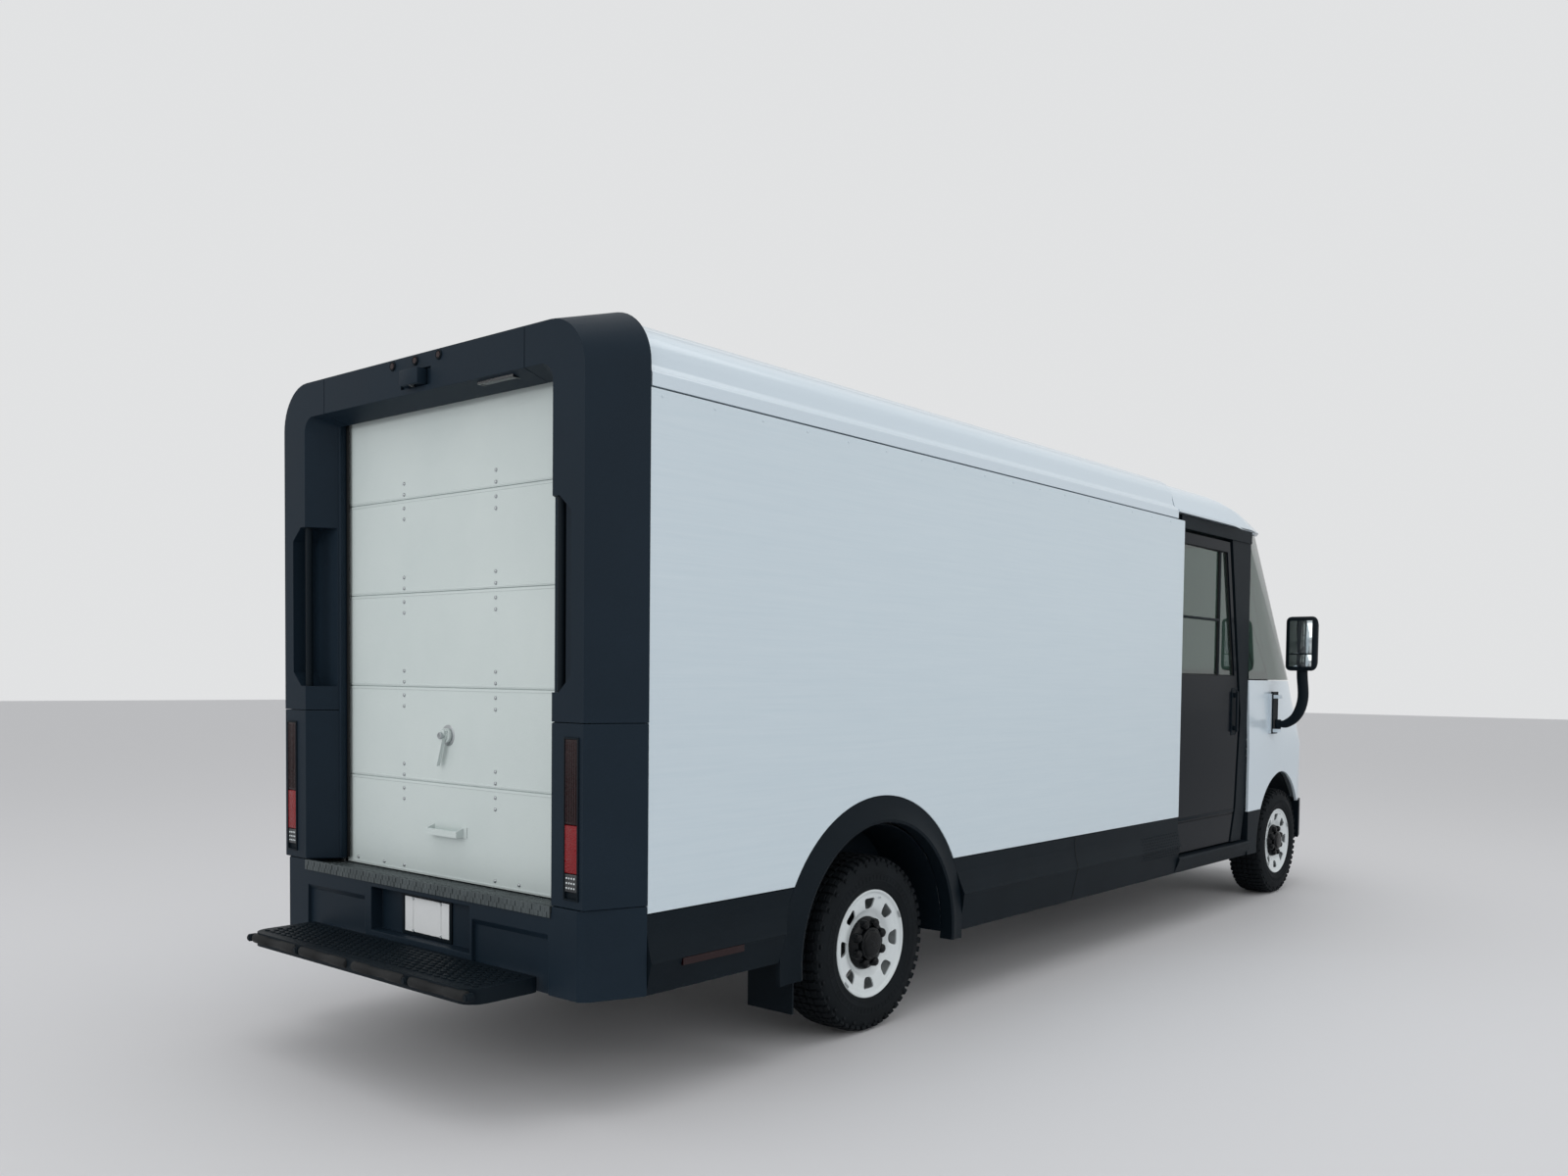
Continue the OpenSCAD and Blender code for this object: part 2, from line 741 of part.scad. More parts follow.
module jamb_outline() polygon([
  [jamb_fore - 6, belt_z - 2], [jamb_fore - 6, glass_top_z - 12], [x_front - 976, glass_top_z - 12],
  [x_front - 766, 1250], [x_front - 816, 660], [x_front - 886, cab_door_z0 - 4],
  [jamb_fore - 70, cab_door_z0 - 4], [jamb_fore - 6, 680]
]);

module cab_frame() color("#14171a") {
  both_sides() {
    prism_y(cab_door_in - 10, frame_out) jamb_outline();
    box(
      [x_panel1 - cab_travel - 40, cab_door_in - 10, panel_z1 - 44],
      [jamb_fore - 6, cab_door_in - 2, panel_z1 + 40]
    );
    box([x_panel1 + 2, cab_door_in - 10, panel_z1 - 44 + 8], [jamb_fore - 6, frame_out + 6, panel_z1 + 40]);
    box([x_bulkhead + 1, lining_in, panel_z1 - 40], [x_bulkhead + 25, cab_door_in - 9, band_z1]);
  }
  box([x_front - 300, 60 - glass_flat, glass_top_z - 30], [x_brow - 20, glass_flat - 60, glass_top_z - 2]);
  difference() {
    t = cowl_h / tan(glass_tilt);
    prism_y(2 - glass_flat, glass_flat - 2) polygon([
      [x_front + 440, belt_z - 60], [x_glass0 - 24, belt_z - 60], [x_glass0 - 24, belt_z], [x_glass0 - 1, belt_z + 3],
      [x_glass0 - t, belt_z + cowl_h], [x_glass0 - t - 20, belt_z + cowl_h], [x_glass0 - 60, belt_z - 30],
      [x_front + 440, belt_z - 40]
    ]);
    for (y = wiper_pivots) on_glass(y, pivot_up) cylinder(r = 12.06, h = 120, center = true);
  }
}

// Cab floor with the footwell and the covers over the front wheels

foot_y = 560;
seat_x = x_front - 1900;

module cab_floor() color("#34383b") {
  difference() {
    box([x_bulkhead, 46 - cab_door_in, cab_floor_z - 25], [x_front - 490, cab_door_in - 46, cab_floor_z]);
    both_sides() disc_y(x_front, axle_z, front_arch_r + 24, foot_y + 10, half_w, $fn = 64);
  }
  box([x_front - 490, -foot_y, cab_floor_z - 25], [x_front - 40, foot_y, cab_floor_z]);
  box([seat_x + 100, driver_y - 150, cab_floor_z - 1], [seat_x + 380, driver_y + 150, 806]);
  box([seat_x + 20, driver_y - 170, 805], [seat_x + 460, driver_y + 170, 822]);
  prism_y(-foot_y, foot_y) polygon([
    [x_front - 40, cab_floor_z - 25], [x_front + 120, 900], [x_front + 120, 1380],
    [x_front + 100, 1380], [x_front + 100, 906], [x_front - 56, cab_floor_z]
  ]);
  both_sides() difference() {
    disc_y(x_front, axle_z, front_arch_r + 34, foot_y, cab_door_in - 46, $fn = 64);
    disc_y(x_front, axle_z, front_arch_r + 24, foot_y + 10, cab_door_in, $fn = 64);
    box([x_front - 700, foot_y - 1, -400], [x_front + 700, half_w, axle_z + 118]);
    box([x_front + 470, foot_y - 1, 0], [x_front + 700, half_w, bumper_top_z + 2]);
  }
}

doorway_y0 = -560;
doorway_y1 = 40;
doorway_z1 = 2060;

module bulkhead() color("#a9adac") difference() {
  union() {
    box([x_bulkhead + 1, 1 - lining_in, cab_floor_z + 1], [x_bulkhead + 25, lining_in - 1, band_z1 + 100]);
    box([x_bulkhead - 36, doorway_y0 - 50, doorway_z1 + 38], [x_bulkhead + 2, doorway_y1 + 700, doorway_z1 + 62]);
  }
  box([x_bulkhead, doorway_y0, deck_z], [x_bulkhead + 26, doorway_y1, doorway_z1]);
}

module bulkhead_door() color("#9ba09f") difference() {
  box([x_bulkhead - 32, doorway_y0 - 30, deck_z + 8], [x_bulkhead - 4, doorway_y1 + 30, doorway_z1 + 30]);
  box([x_bulkhead - 33, doorway_y0 + 40, 1500], [x_bulkhead - 3, doorway_y1 - 40, 1900]);
  box([x_bulkhead - 33, doorway_y1 - 20, 1180], [x_bulkhead - 22, doorway_y1 + 12, 1340]);
}

// Dashboard with the steering column and the cluster hood

column_x = x_front - 1220;
column_z = 1290;
column_r = 12;
column_tilt = 122;

module dashboard() color("#23272a") {
  prism_y(-820, 820) polygon([
    [x_front - 860, 860], [x_front - 900, 1000], [x_front - 860, 1140], [x_front - 700, 1200],
    [x_front - 200, 1230], [x_front + 90, 1230], [x_front + 90, 1100], [x_front - 560, 1100],
    [x_front - 700, 900]
  ]);
  prism_y(driver_y - 170, driver_y + 170) polygon([
    [x_front - 800, 1170], [x_front - 820, 1250], [x_front - 640, 1290], [x_front - 560, 1216]
  ]);
  translate([column_x, driver_y, column_z]) rotate([0, column_tilt, 0]) difference() {
    translate([0, 0, 34]) cylinder(r = 38, h = 420);
    cylinder(r = column_r + spindle_gap, h = 120);
  }
  pedal_bracket();
}

// Ears under the dashboard for the pedal's pivot
pedal_x = x_front - 330;
pedal_y = driver_y - 60;
pedal_pivot_z = 860;
pedal_pin_r = 10;

module pedal_bracket() difference() {
  for (y = [pedal_y - 25, pedal_y + 17]) {
    box([pedal_x + 40, y, pedal_pivot_z - 22], [pedal_x + 80, y + 8, 1104]);
  }
  disc_y(pedal_x + 60, pedal_pivot_z, pedal_pin_r + spindle_gap, pedal_y - 60, pedal_y + 60);
}

module steering_wheel() color("#1c1f21") {
  translate([column_x, driver_y, column_z]) rotate([0, column_tilt, 0]) {
    rotate_extrude() translate([wheel_rim_d / 2 - 14, 0]) circle(14);
    cylinder(r = 62, h = 32);
    cylinder(r = column_r, h = 100);
    for (a = [90, 210, 330]) rotate([0, 0, a]) translate([40, -14, 4]) cube([wheel_rim_d / 2 - 60, 28, 14]);
  }
}

module brake_pedal() color("#3b3e40") {
  y = pedal_y;
  disc_y(pedal_x + 60, pedal_pivot_z, pedal_pin_r, y - 25, y + 25);
  disc_y(pedal_x + 60, pedal_pivot_z, 16, y - 15, y + 15);
  prism_y(y - 8, y + 8) polygon([
    [pedal_x + 52, pedal_pivot_z], [pedal_x + 68, pedal_pivot_z], [pedal_x + 12, 650], [pedal_x - 16, 650]
  ]);
  translate([pedal_x - 12, y - 40, 628]) rotate([0, -20, 0]) cube([12, 80, 60]);
}

// Driver's seat

module seat_frame() color("#26292b") translate([0, driver_y, 0]) {
  box([seat_x + 20, -215, 823], [seat_x + 460, 215, 860]);
  box([seat_x - 40, -243, 823], [seat_x + 21, 243, 860]);
  both_sides() {
    box([seat_x - 40, 231, 859], [seat_x + 18, 243, 1050]);
    box([seat_x + 60, 171, 797], [seat_x + 420, 190, 824]);
    box([seat_x + 60, 160, 797], [seat_x + 420, 172, 804]);
  }
}

module seat_cushion() color("#3a3e42") {
  y = driver_y;
  translate([0, 0, 861]) round_box(seat_x + 32, seat_x + 520, y - 240, y + 240, 50, 110);
}

module seat_back() color("#3a3e42") {
  translate([seat_x - 22, driver_y, 972]) rotate([0, -12, 0]) translate([-60, 0, 0]) {
    prism_x(0, 120) {
      translate([-230, 0]) square([460, 560]);
      translate([-190, 0]) square([380, 600]);
      for (y = [-190, 190]) translate([y, 560]) circle(40);
    }
    prism_x(10, 100) {
      translate([-60, 599]) square([120, 40]);
      translate([-120, 638]) square([240, 130]);
    }
  }
}

// Tracks of the rear door, bearing plates and the brackets to the lining

module door_tracks() color("#9aa0a3") {
  y0 = roller_y - 1;
  y1 = roller_y + roller_w + 4;
  wall = 3;
  c = roller_r + 1;
  x1 = door_xm + (door_z1 - door_z0) + 60;
  both_sides() {
    difference() {
      box([door_xm - c - wall, y0, deck_z + 3], [door_xm + c + wall, y1 + wall, track_z - c - 8]);
      box([door_xm - c, y0 - 1, deck_z], [door_xm + c, y1, track_z]);
    }
    difference() {
      box([door_xm - c - wall, y0, track_z - c - wall], [x1, y1 + wall, track_z + c + wall]);
      box([door_xm - c, y0 - 1, track_z - c], [x1 + 1, y1, track_z + c]);
    }
    for (x = [door_xm + 700, x1 - 60]) box([x, y1 + wall, track_z - 12], [x + 40, lining_in, track_z + 12]);
    box([throat_x, y1 - 20, deck_z + 200], [door_xm - c, y1 + wall, deck_z + 260]);
    box([throat_x - 20, y1 - 20, deck_z + 1500], [door_xm - c, y1 + wall, deck_z + 1560]);
  }
  for (y = [-600, 0, 600]) difference() {
    box([throat_x - 20, y - 6, track_z - 18], [door_xm + 20, y + 6, track_z + 40]);
    disc_y(door_xm, track_z, shaft_r + 0.06, y - 10, y + 10);
  }
}

module counterbalance_shaft() color("#a7abad") {
  disc_y(door_xm, track_z, shaft_r, -door_half + 20, door_half - 20);
  both_sides() {
    difference() {
      disc_y(door_xm, track_z, 26, 60, 420);
      disc_y(door_xm, track_z, 20, 59, 421);
    }
    disc_y(door_xm, track_z, 26, 40, 60);
    disc_y(door_xm, track_z, 26, 420, 440);
    disc_y(door_xm, track_z, 28, door_half - 60, door_half - 20);
  }
}

// Sectional rear door

module door_panels() color("#cdd6d6") for (i = [0:door_sections - 1]) {
  z = door_z0 + i * section_h;
  difference() {
    box([door_x0, -door_half, z], [door_x0 + door_t, door_half, z + section_h - section_gap]);
    if (i == lock_section) disc_x(0, lock_z, lock_r, door_x0 - 1, door_x0 + door_t + 1);
  }
}

lock_section = floor((lock_z - door_z0) / section_h);
hinge_y = 291;
lock_r = 17;

module door_hinges() color("#b9bfc0") for (y = [-hinge_y, hinge_y]) {
  for (i = [1:door_sections - 1]) {
    z = door_z0 + i * section_h - section_gap / 2;
    box([door_x0 + door_t, y - 32, z - 88], [door_x0 + door_t + 3, y + 32, z + 74]);
    disc_y(door_x0 + door_t + 8, z, 7, y - 32, y + 32);
    for (dz = [-75, -33, 19, 61]) disc_x(y, z + dz, 6, door_x0 - 3, door_x0);
  }
  for (dy = [-260, 260]) disc_x(y + sign(y) * 140, door_z0 + 24, 5, door_x0 - 3, door_x0);
}

module door_rollers() color("#c8cdce") both_sides() {
  for (z = [foot_z, track_z]) {
    disc_y(door_xm, z, roller_r, roller_y + 2, roller_y + roller_w);
    disc_y(door_xm, z, 6, door_half + 4, roller_y + 2);
  }
  box([door_xm - 14, door_half, foot_z - 16], [door_xm + 14, door_half + 4, foot_z + 60]);
  box([door_xm - 14, door_half, door_z1 - 60], [door_xm + 14, door_half + 4, track_z + 10]);
}

module door_pull() color("#d5dadb") {
  z = deck_z + pull_h;
  difference() {
    prism_y(-100, 100) polygon([
      [door_x0, z + 22], [door_x0 - 34, z + 8], [door_x0 - 34, z - 14], [door_x0, z - 14]
    ]);
    prism_y(-92, 92) polygon([
      [door_x0 + 1, z + 30], [door_x0 - 28, z + 16], [door_x0 - 28, z - 10], [door_x0 + 1, z - 10]
    ]);
  }
  both_sides() box([door_x0 - 3, 88, z - 16], [door_x0, 120, z + 24]);
}

module lock_lever() color("#2a2d30") {
  disc_x(0, lock_z, lock_r - spindle_gap, door_x0 - 20, door_x0 + door_t + 12);
  disc_x(0, lock_z, 27, door_x0 - 14, door_x0 - 4);
  translate([door_x0 - 30, 0, lock_z]) rotate([20, 0, 0]) box([0, -11, -118], [14, 11, 22]);
  translate([door_x0 + door_t + 2, 0, lock_z]) box([0, -12, -90], [6, 12, 8]);
}

// Sliding cab doors

function door_shape(inset) = [
  [x_panel1 - 30 + inset, cab_door_z0 + inset], [x_front - 906 - inset, cab_door_z0 + inset],
  [x_front - 836 - inset, 660], [x_front - 786 - inset, 1250],
  [x_front - 996 - inset, panel_z1 - 54 - inset], [x_panel1 - 30 + inset, panel_z1 - 54 - inset]
];

function window_shape(inset) = [
  [x_panel1 + 14 + inset, window_z0 + inset], [x_front - 876 - inset, window_z0 + inset],
  [x_front - 1030 - inset, panel_z1 - 120 - inset], [x_panel1 + 14 + inset, panel_z1 - 120 - inset]
];

module cab_door() difference() {
  prism_y(cab_door_in, cab_door_out) difference() {
    polygon(door_shape(0));
    polygon(window_shape(0));
  }
  box([x_panel1 - 40, cab_door_out - 4, 616], [x_front, cab_door_out + 1, 622]);
  box([x_front - 860, cab_door_out - 18, 1120], [x_front - 830, cab_door_out + 1, 1260]);
}

module cab_glass() {
  prism_y(cab_door_out - 22, cab_door_out - 16) polygon(window_shape(0.3));
  box([x_front - 1136, cab_door_out - 26, window_z0 + 1], [x_front - 1122, cab_door_out - 12, panel_z1 - 121]);
}

module cab_door_left() color("#30343c") cab_door();
module cab_door_right() color("#30343c") mirror([0, 1, 0]) cab_door();
module cab_door_left_glass() color("#59645f") cab_glass();
module cab_door_right_glass() color("#59645f") mirror([0, 1, 0]) cab_glass();

// Wheels

module tyre_at(x, side) {
  r = tyre_d / 2;
  w = tyre_w / 2;
  f = rim_d / 2;
  bead = f - 14;
  translate([x, side * track_mid, axle_z]) rotate([90, 0, 0]) rotate_extrude($fn = 96) polygon([
    [bead, -w + 25], [f + 1, -w + 21], [f + 3, -w + 9], [bead + 76, -w], [r - 40, -w + 3], [r - 14, -w + 9],
    [r, -w + 18], [r, w - 18], [r - 14, w - 9], [r - 40, w - 3], [bead + 76, w],
    [f + 3, w - 9], [f + 1, w - 21], [bead, w - 25]
  ]);
}

module rim_at(x, side) {
  w = tyre_w / 2;
  f = rim_d / 2;
  bead = f - 14;
  translate([x, side * track_mid, axle_z]) rotate([side * -90, 0, 0]) difference() {
    rotate_extrude($fn = 96) polygon([
      [spindle_r + spindle_gap, 14], [spindle_r + spindle_gap, -70], [78, -70], [78, 6], [120, 30],
      [bead - 26, 42], [bead - 16, 20], [bead - 16, -w + 24], [bead - 6, -w + 22], [f, -w + 12],
      [f, -w + 20], [bead, -w + 24], [bead, w - 24], [f, w - 20], [f, w - 12],
      [bead - 8, w - 16], [bead - 16, 50], [110, 44], [84, 26], [78, 70], [0, 70], [0, 62],
      [spindle_r + spindle_gap, 62]
    ]);
    for (a = [22.5:45:360]) rotate([0, 0, a]) translate([150, 0, 0]) {
      translate([-12, 0, 0]) cylinder(r = 20, h = w);
      translate([10, 0, 0]) cylinder(r = 24, h = w);
    }
  }
}

module tyre_front_left() color("#17191b") tyre_at(x_front, 1);
module tyre_front_right() color("#17191b") tyre_at(x_front, -1);
module tyre_rear_left() color("#17191b") tyre_at(x_rear, 1);
module tyre_rear_right() color("#17191b") tyre_at(x_rear, -1);
module rim_front_left() color("#e6eaec") rim_at(x_front, 1);
module rim_front_right() color("#e6eaec") rim_at(x_front, -1);
module rim_rear_left() color("#e6eaec") rim_at(x_rear, 1);
module rim_rear_right() color("#e6eaec") rim_at(x_rear, -1);

// Steering knuckles turn on upright pins

module knuckle() {
  disc_y(x_front, axle_z, 70, kingpin_y, track_mid - 72);
  disc_y(x_front, axle_z, spindle_r, track_mid - 72, track_mid + 60);
  translate([x_front, kingpin_y, axle_z - 120]) cylinder(r = kingpin_r, h = 240);
  box([x_front - 150, kingpin_y - 10, axle_z - 12], [x_front, kingpin_y + 10, axle_z + 12]);
}

module knuckle_left() color("#4a4d50") knuckle();
module knuckle_right() color("#4a4d50") mirror([0, 1, 0]) knuckle();

// Door mirrors on angled arms

module mirror_unit() {
  translate([mirror_x, mirror_y, 1150]) cylinder(r = 18, h = 200);
  translate([mirror_x, mirror_y, 1126]) cylinder(r = mirror_pin_r, h = 248);
  prism_y(mirror_y - 2, mirror_y + 160) polygon([
    [mirror_x - 24, 1180], [mirror_x + 40, 1180], [mirror_x + 40, 1250], [mirror_x - 24, 1250]
  ]);
  prism_x(mirror_x - 20, mirror_x + 44) polygon([
    [mirror_y + 100, 1180], [mirror_y + 160, 1180], [mirror_y + 172, 1560], [mirror_y + 112, 1560]
  ]);
  translate([mirror_x - 40, mirror_y + 38, 1530]) round_box(0, 120, 0, 226, 40, 380);
}

module mirror_left() color("#16191b") mirror_unit();
module mirror_right() color("#16191b") mirror([0, 1, 0]) mirror_unit();

// Wipers: spindles in the cowl, blades parked along the foot of the screen

wiper_pivots = [-560, 10];
wiper_reach = 420;
blade_l = 560;
pivot_up = 30;

module on_glass(y, up) {
  d = up / sin(glass_tilt);
  translate([x_glass0 - d * cos(glass_tilt), y, belt_z + 5 + up]) rotate([0, glass_tilt, 0]) children();
}

module wiper(y) on_glass(y, pivot_up) {
  translate([0, 0, -30]) cylinder(r = 12, h = 60);
  translate([-9, 0, 22]) cube([18, wiper_reach, 8]);
  translate([-40, wiper_reach - 10, 22]) cube([49, 20, 8]);
  translate([-48, wiper_reach - blade_l * 0.6, 8]) cube([12, blade_l, 14]);
}

module wiper_left() color("#121416") wiper(wiper_pivots[1]);
module wiper_right() color("#121416") wiper(wiper_pivots[0]);

// Bonnet: a steep lid ahead of the screen, standing proud of the fenders

module bonnet() color("#15181b") intersection() {
  nose_shell(14);
  box([x_front + 300, seam - lid_half, nose_z1 + 2], [x_nose, lid_half - seam, belt_z - 4]);
}

chassis_frame();
battery_pack();
rear_axle();
cargo_floor();
inner_walls();
side_panel_left();
side_panel_right();
cargo_roof();
cab_roof();
rear_portal();
lamp_panels();
tail_lamps();
rear_bumper();
rear_step();
sill_plate();
grab_handles();
marker_lamps();
rear_camera();
licence_plate();
lower_cladding();
fenders();
front_panel();
headlamps();
windscreen();
cab_frame();
cab_floor();
bulkhead();
dashboard();
door_tracks();
door_panels();
door_hinges();
door_rollers();
door_pull();
lock_lever();
counterbalance_shaft();
cab_door_left();
cab_door_left_glass();
cab_door_right();
cab_door_right_glass();
bulkhead_door();
knuckle_left();
knuckle_right();
steering_wheel();
tyre_front_left();
tyre_front_right();
tyre_rear_left();
tyre_rear_right();
rim_front_left();
rim_front_right();
rim_rear_left();
rim_rear_right();
mirror_left();
mirror_right();
wiper_left();
wiper_right();
bonnet();
brake_pedal();
seat_frame();
seat_cushion();
seat_back();
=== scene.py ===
"""Looks of a walk-in mail delivery truck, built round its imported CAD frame."""
import math

import bmesh
import bpy
from mathutils import Matrix, Vector


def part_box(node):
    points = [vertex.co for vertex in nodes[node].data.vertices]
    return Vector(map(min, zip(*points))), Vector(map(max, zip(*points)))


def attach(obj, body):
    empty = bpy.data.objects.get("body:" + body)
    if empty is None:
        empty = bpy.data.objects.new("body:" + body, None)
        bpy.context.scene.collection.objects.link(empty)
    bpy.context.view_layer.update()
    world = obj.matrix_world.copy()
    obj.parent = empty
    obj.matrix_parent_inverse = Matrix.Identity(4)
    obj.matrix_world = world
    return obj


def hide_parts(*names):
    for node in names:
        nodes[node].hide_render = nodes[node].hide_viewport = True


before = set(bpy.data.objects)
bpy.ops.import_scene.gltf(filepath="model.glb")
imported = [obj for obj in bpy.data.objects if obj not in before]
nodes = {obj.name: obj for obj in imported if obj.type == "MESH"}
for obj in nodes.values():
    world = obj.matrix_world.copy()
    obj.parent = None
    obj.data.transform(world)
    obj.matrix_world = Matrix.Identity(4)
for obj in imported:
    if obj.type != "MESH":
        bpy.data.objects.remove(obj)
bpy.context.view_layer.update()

# ---- Frame rails, axles and steering knuckles ----------------------------------------
# Pressed and welded steel, dipped and electro-coated black. The coat is thin and even,
# with a slight satin and a film of road dust on what faces up.


def linear(code):
    """sRGB hex to the linear colour that Blender's sockets take."""
    values = [int(code[i:i + 2], 16) / 255 for i in (1, 3, 5)]
    return [v / 12.92 if v <= 0.04045 else ((v + 0.055) / 1.055) ** 2.4 for v in values] + [1.0]


def add_node(material, kind, links, **settings):
    """Adds one node: settings are its own properties, links are socket values or sources."""
    node = material.node_tree.nodes.new(kind)
    for key, value in settings.items():
        setattr(node, key, value)
    for socket, value in links.items():
        if isinstance(value, bpy.types.NodeSocket):
            material.node_tree.links.new(value, node.inputs[socket])
        else:
            node.inputs[socket].default_value = value
    return node


def start_material(name, colour, roughness, metallic=0.0, **sockets):
    """A material, its shader and its Object coordinates; sockets are further constants on the shader."""
    material = bpy.data.materials.new(name)
    material.use_nodes = True
    shader = material.node_tree.nodes["Principled BSDF"]
    shader.inputs["Base Color"].default_value = linear(colour)
    shader.inputs["Roughness"].default_value = roughness
    shader.inputs["Metallic"].default_value = metallic
    for socket, value in sockets.items():
        shader.inputs[socket.replace("_", " ")].default_value = value
    return material, shader, add_node(material, "ShaderNodeTexCoord", {}).outputs["Object"]


def finish_surface(material, shader, colour=None, roughness=None, height=None, depth=0.001, strength=1.0):
    """Wires a colour, a roughness and a height pattern to the shader."""
    links = material.node_tree.links
    if colour is not None:
        links.new(colour, shader.inputs["Base Color"])
    if roughness is not None:
        links.new(roughness, shader.inputs["Roughness"])
    if height is not None:
        bump = add_node(material, "ShaderNodeBump", {
            "Height": height, "Distance": depth, "Strength": strength
        })
        links.new(bump.outputs["Normal"], shader.inputs["Normal"])


def dress(material, *names, round_mm=0.0, smooth=30):
    """Gives CAD nodes a material, rounded edges and smooth shading below an angle."""
    for name in names:
        node = nodes[name]
        node.data.materials.clear()
        node.data.materials.append(material)
        node.data.polygons.foreach_set("use_smooth", [True] * len(node.data.polygons))
        node.modifiers.new("weld", "WELD").merge_threshold = 0.00002
        if round_mm:
            rounding = node.modifiers.new("rounding", "BEVEL")
            rounding.width = round_mm / 1000
            rounding.segments = 2
            rounding.limit_method = "ANGLE"
            rounding.angle_limit = math.radians(35)
            rounding.harden_normals = False
        edges = node.modifiers.new("edges", "EDGE_SPLIT")
        edges.split_angle = math.radians(smooth)
        node.modifiers.new("shading", "WEIGHTED_NORMAL").weight = 90


coated_steel, shader, place = start_material("electro_coated_steel", "#212427", 0.5)
dust = add_node(coated_steel, "ShaderNodeTexNoise", {"Vector": place, "Scale": 6.0, "Detail": 6.0})
film = add_node(
    coated_steel, "ShaderNodeMix", {0: dust.outputs["Fac"], 6: linear("#1b1e20"), 7: linear("#303335")},
    data_type="RGBA"
)
finish_surface(coated_steel, shader, film.outputs[2], height=dust.outputs["Fac"], depth=0.002)
dress(coated_steel, "chassis_frame", "rear_axle", "knuckle_left", "knuckle_right", round_mm=2)

# ---- Battery pack ---------------------------------------------------------------------
# A die-cast aluminium tray and cover under the floor, bare and slightly oxidised, with
# cross ribs. Dull grey, clouded where water has dried.
cast_aluminium, shader, place = start_material("cast_aluminium", "#6a6e71", 0.55, 0.8)
cloud = add_node(cast_aluminium, "ShaderNodeTexNoise", {"Vector": place, "Scale": 9.0, "Detail": 8.0})
oxide = add_node(
    cast_aluminium, "ShaderNodeMix",
    {0: cloud.outputs["Fac"], 6: linear("#54585b"), 7: linear("#7b7f81")}, data_type="RGBA"
)
grit = add_node(cast_aluminium, "ShaderNodeTexNoise", {"Vector": place, "Scale": 300.0})
finish_surface(cast_aluminium, shader, oxide.outputs[2], height=grit.outputs["Fac"], depth=0.0005)
dress(cast_aluminium, "battery_pack", round_mm=3)

# ---- Load deck, door tracks and counterbalance -----------------------------------------
# Rolled aluminium deck, screwed to the rails, with zinc-plated steel tracks and shaft
# bolted above it. The deck is scuffed along the load's path.
mill_aluminium, shader, place = start_material("mill_aluminium", "#9a9d9e", 0.42, 1.0)
stretch = add_node(mill_aluminium, "ShaderNodeMapping", {"Vector": place, "Scale": (2.0, 60.0, 60.0)})
scuff = add_node(mill_aluminium, "ShaderNodeTexNoise", {
    "Vector": stretch.outputs["Vector"], "Scale": 3.0, "Detail": 6.0
})
worn = add_node(mill_aluminium, "ShaderNodeMapRange", {
    "Value": scuff.outputs["Fac"], "To Min": 0.32, "To Max": 0.6
})
finish_surface(
    mill_aluminium, shader, roughness=worn.outputs["Result"], height=scuff.outputs["Fac"], depth=0.0004
)
dress(mill_aluminium, "cargo_floor", round_mm=2)


def begin(name, shape, **place):
    """Adds a primitive with nothing else selected, and puts its place into its mesh."""
    bpy.ops.object.select_all(action="DESELECT")
    getattr(bpy.ops.mesh, "primitive_" + shape + "_add")(**place)
    piece = bpy.context.object
    piece.name = name
    bpy.ops.object.transform_apply(location=True, rotation=True, scale=True)
    return piece


def choose(piece, test, kind="FACE"):
    """Edit mode, with the faces or edges picked whose middle and direction pass a test."""
    bpy.ops.object.mode_set(mode="EDIT")
    bpy.ops.mesh.select_mode(type=kind)
    bpy.ops.mesh.select_all(action="DESELECT")
    shape = bmesh.from_edit_mesh(piece.data)
    for part in shape.faces if kind == "FACE" else shape.edges:
        if kind == "FACE":
            middle, way = part.calc_center_median(), part.normal
        else:
            first, last = part.verts[0].co, part.verts[1].co
            middle, way = (first + last) / 2, (last - first).normalized()
        part.select_set(bool(test(middle, way)))
    bmesh.update_edit_mesh(piece.data)


def leave():
    bpy.ops.object.mode_set(mode="OBJECT")


def block(name, low, high, edge, steps=2):
    """A box between two corners with every edge rounded over."""
    middle = [(a + b) / 2 for a, b in zip(low, high)]
    size = [abs(b - a) for a, b in zip(low, high)]
    piece = begin(name, "cube", size=1, location=middle, scale=size)
    choose(piece, lambda middle, way: True, "EDGE")
    bpy.ops.mesh.bevel(offset=edge, segments=steps, affect="EDGES")
    leave()
    return piece


def only(piece):
    bpy.ops.object.select_all(action="DESELECT")
    piece.select_set(True)
    bpy.context.view_layer.objects.active = piece


def modify(piece, kind, **settings):
    modifier = piece.modifiers.new(kind.lower(), kind)
    for key, value in settings.items():
        setattr(modifier, key, value)
    only(piece)
    bpy.ops.object.modifier_apply(modifier=modifier.name)


def repeat(piece, places, turn=None):
    """Copies a piece, each with its own mesh, to places, and drops the pattern.

    A place is an offset and a turn, or only an offset where all copies share one turn.
    """
    made = []
    for place in places:
        offset, angles = place if turn is None else (place, turn)
        twin = piece.copy()
        twin.data = piece.data.copy()
        bpy.context.scene.collection.objects.link(twin)
        twin.location = offset
        twin.rotation_euler = angles
        made.append(twin)
    bpy.data.objects.remove(piece)
    return made


level = (0, 0, 0)


def unite(name, pieces):
    only(pieces[0])
    for piece in pieces:
        piece.select_set(True)
    bpy.ops.object.join()
    whole = bpy.context.object
    whole.name = name
    bpy.ops.object.transform_apply(location=True, rotation=True, scale=True)
    return whole


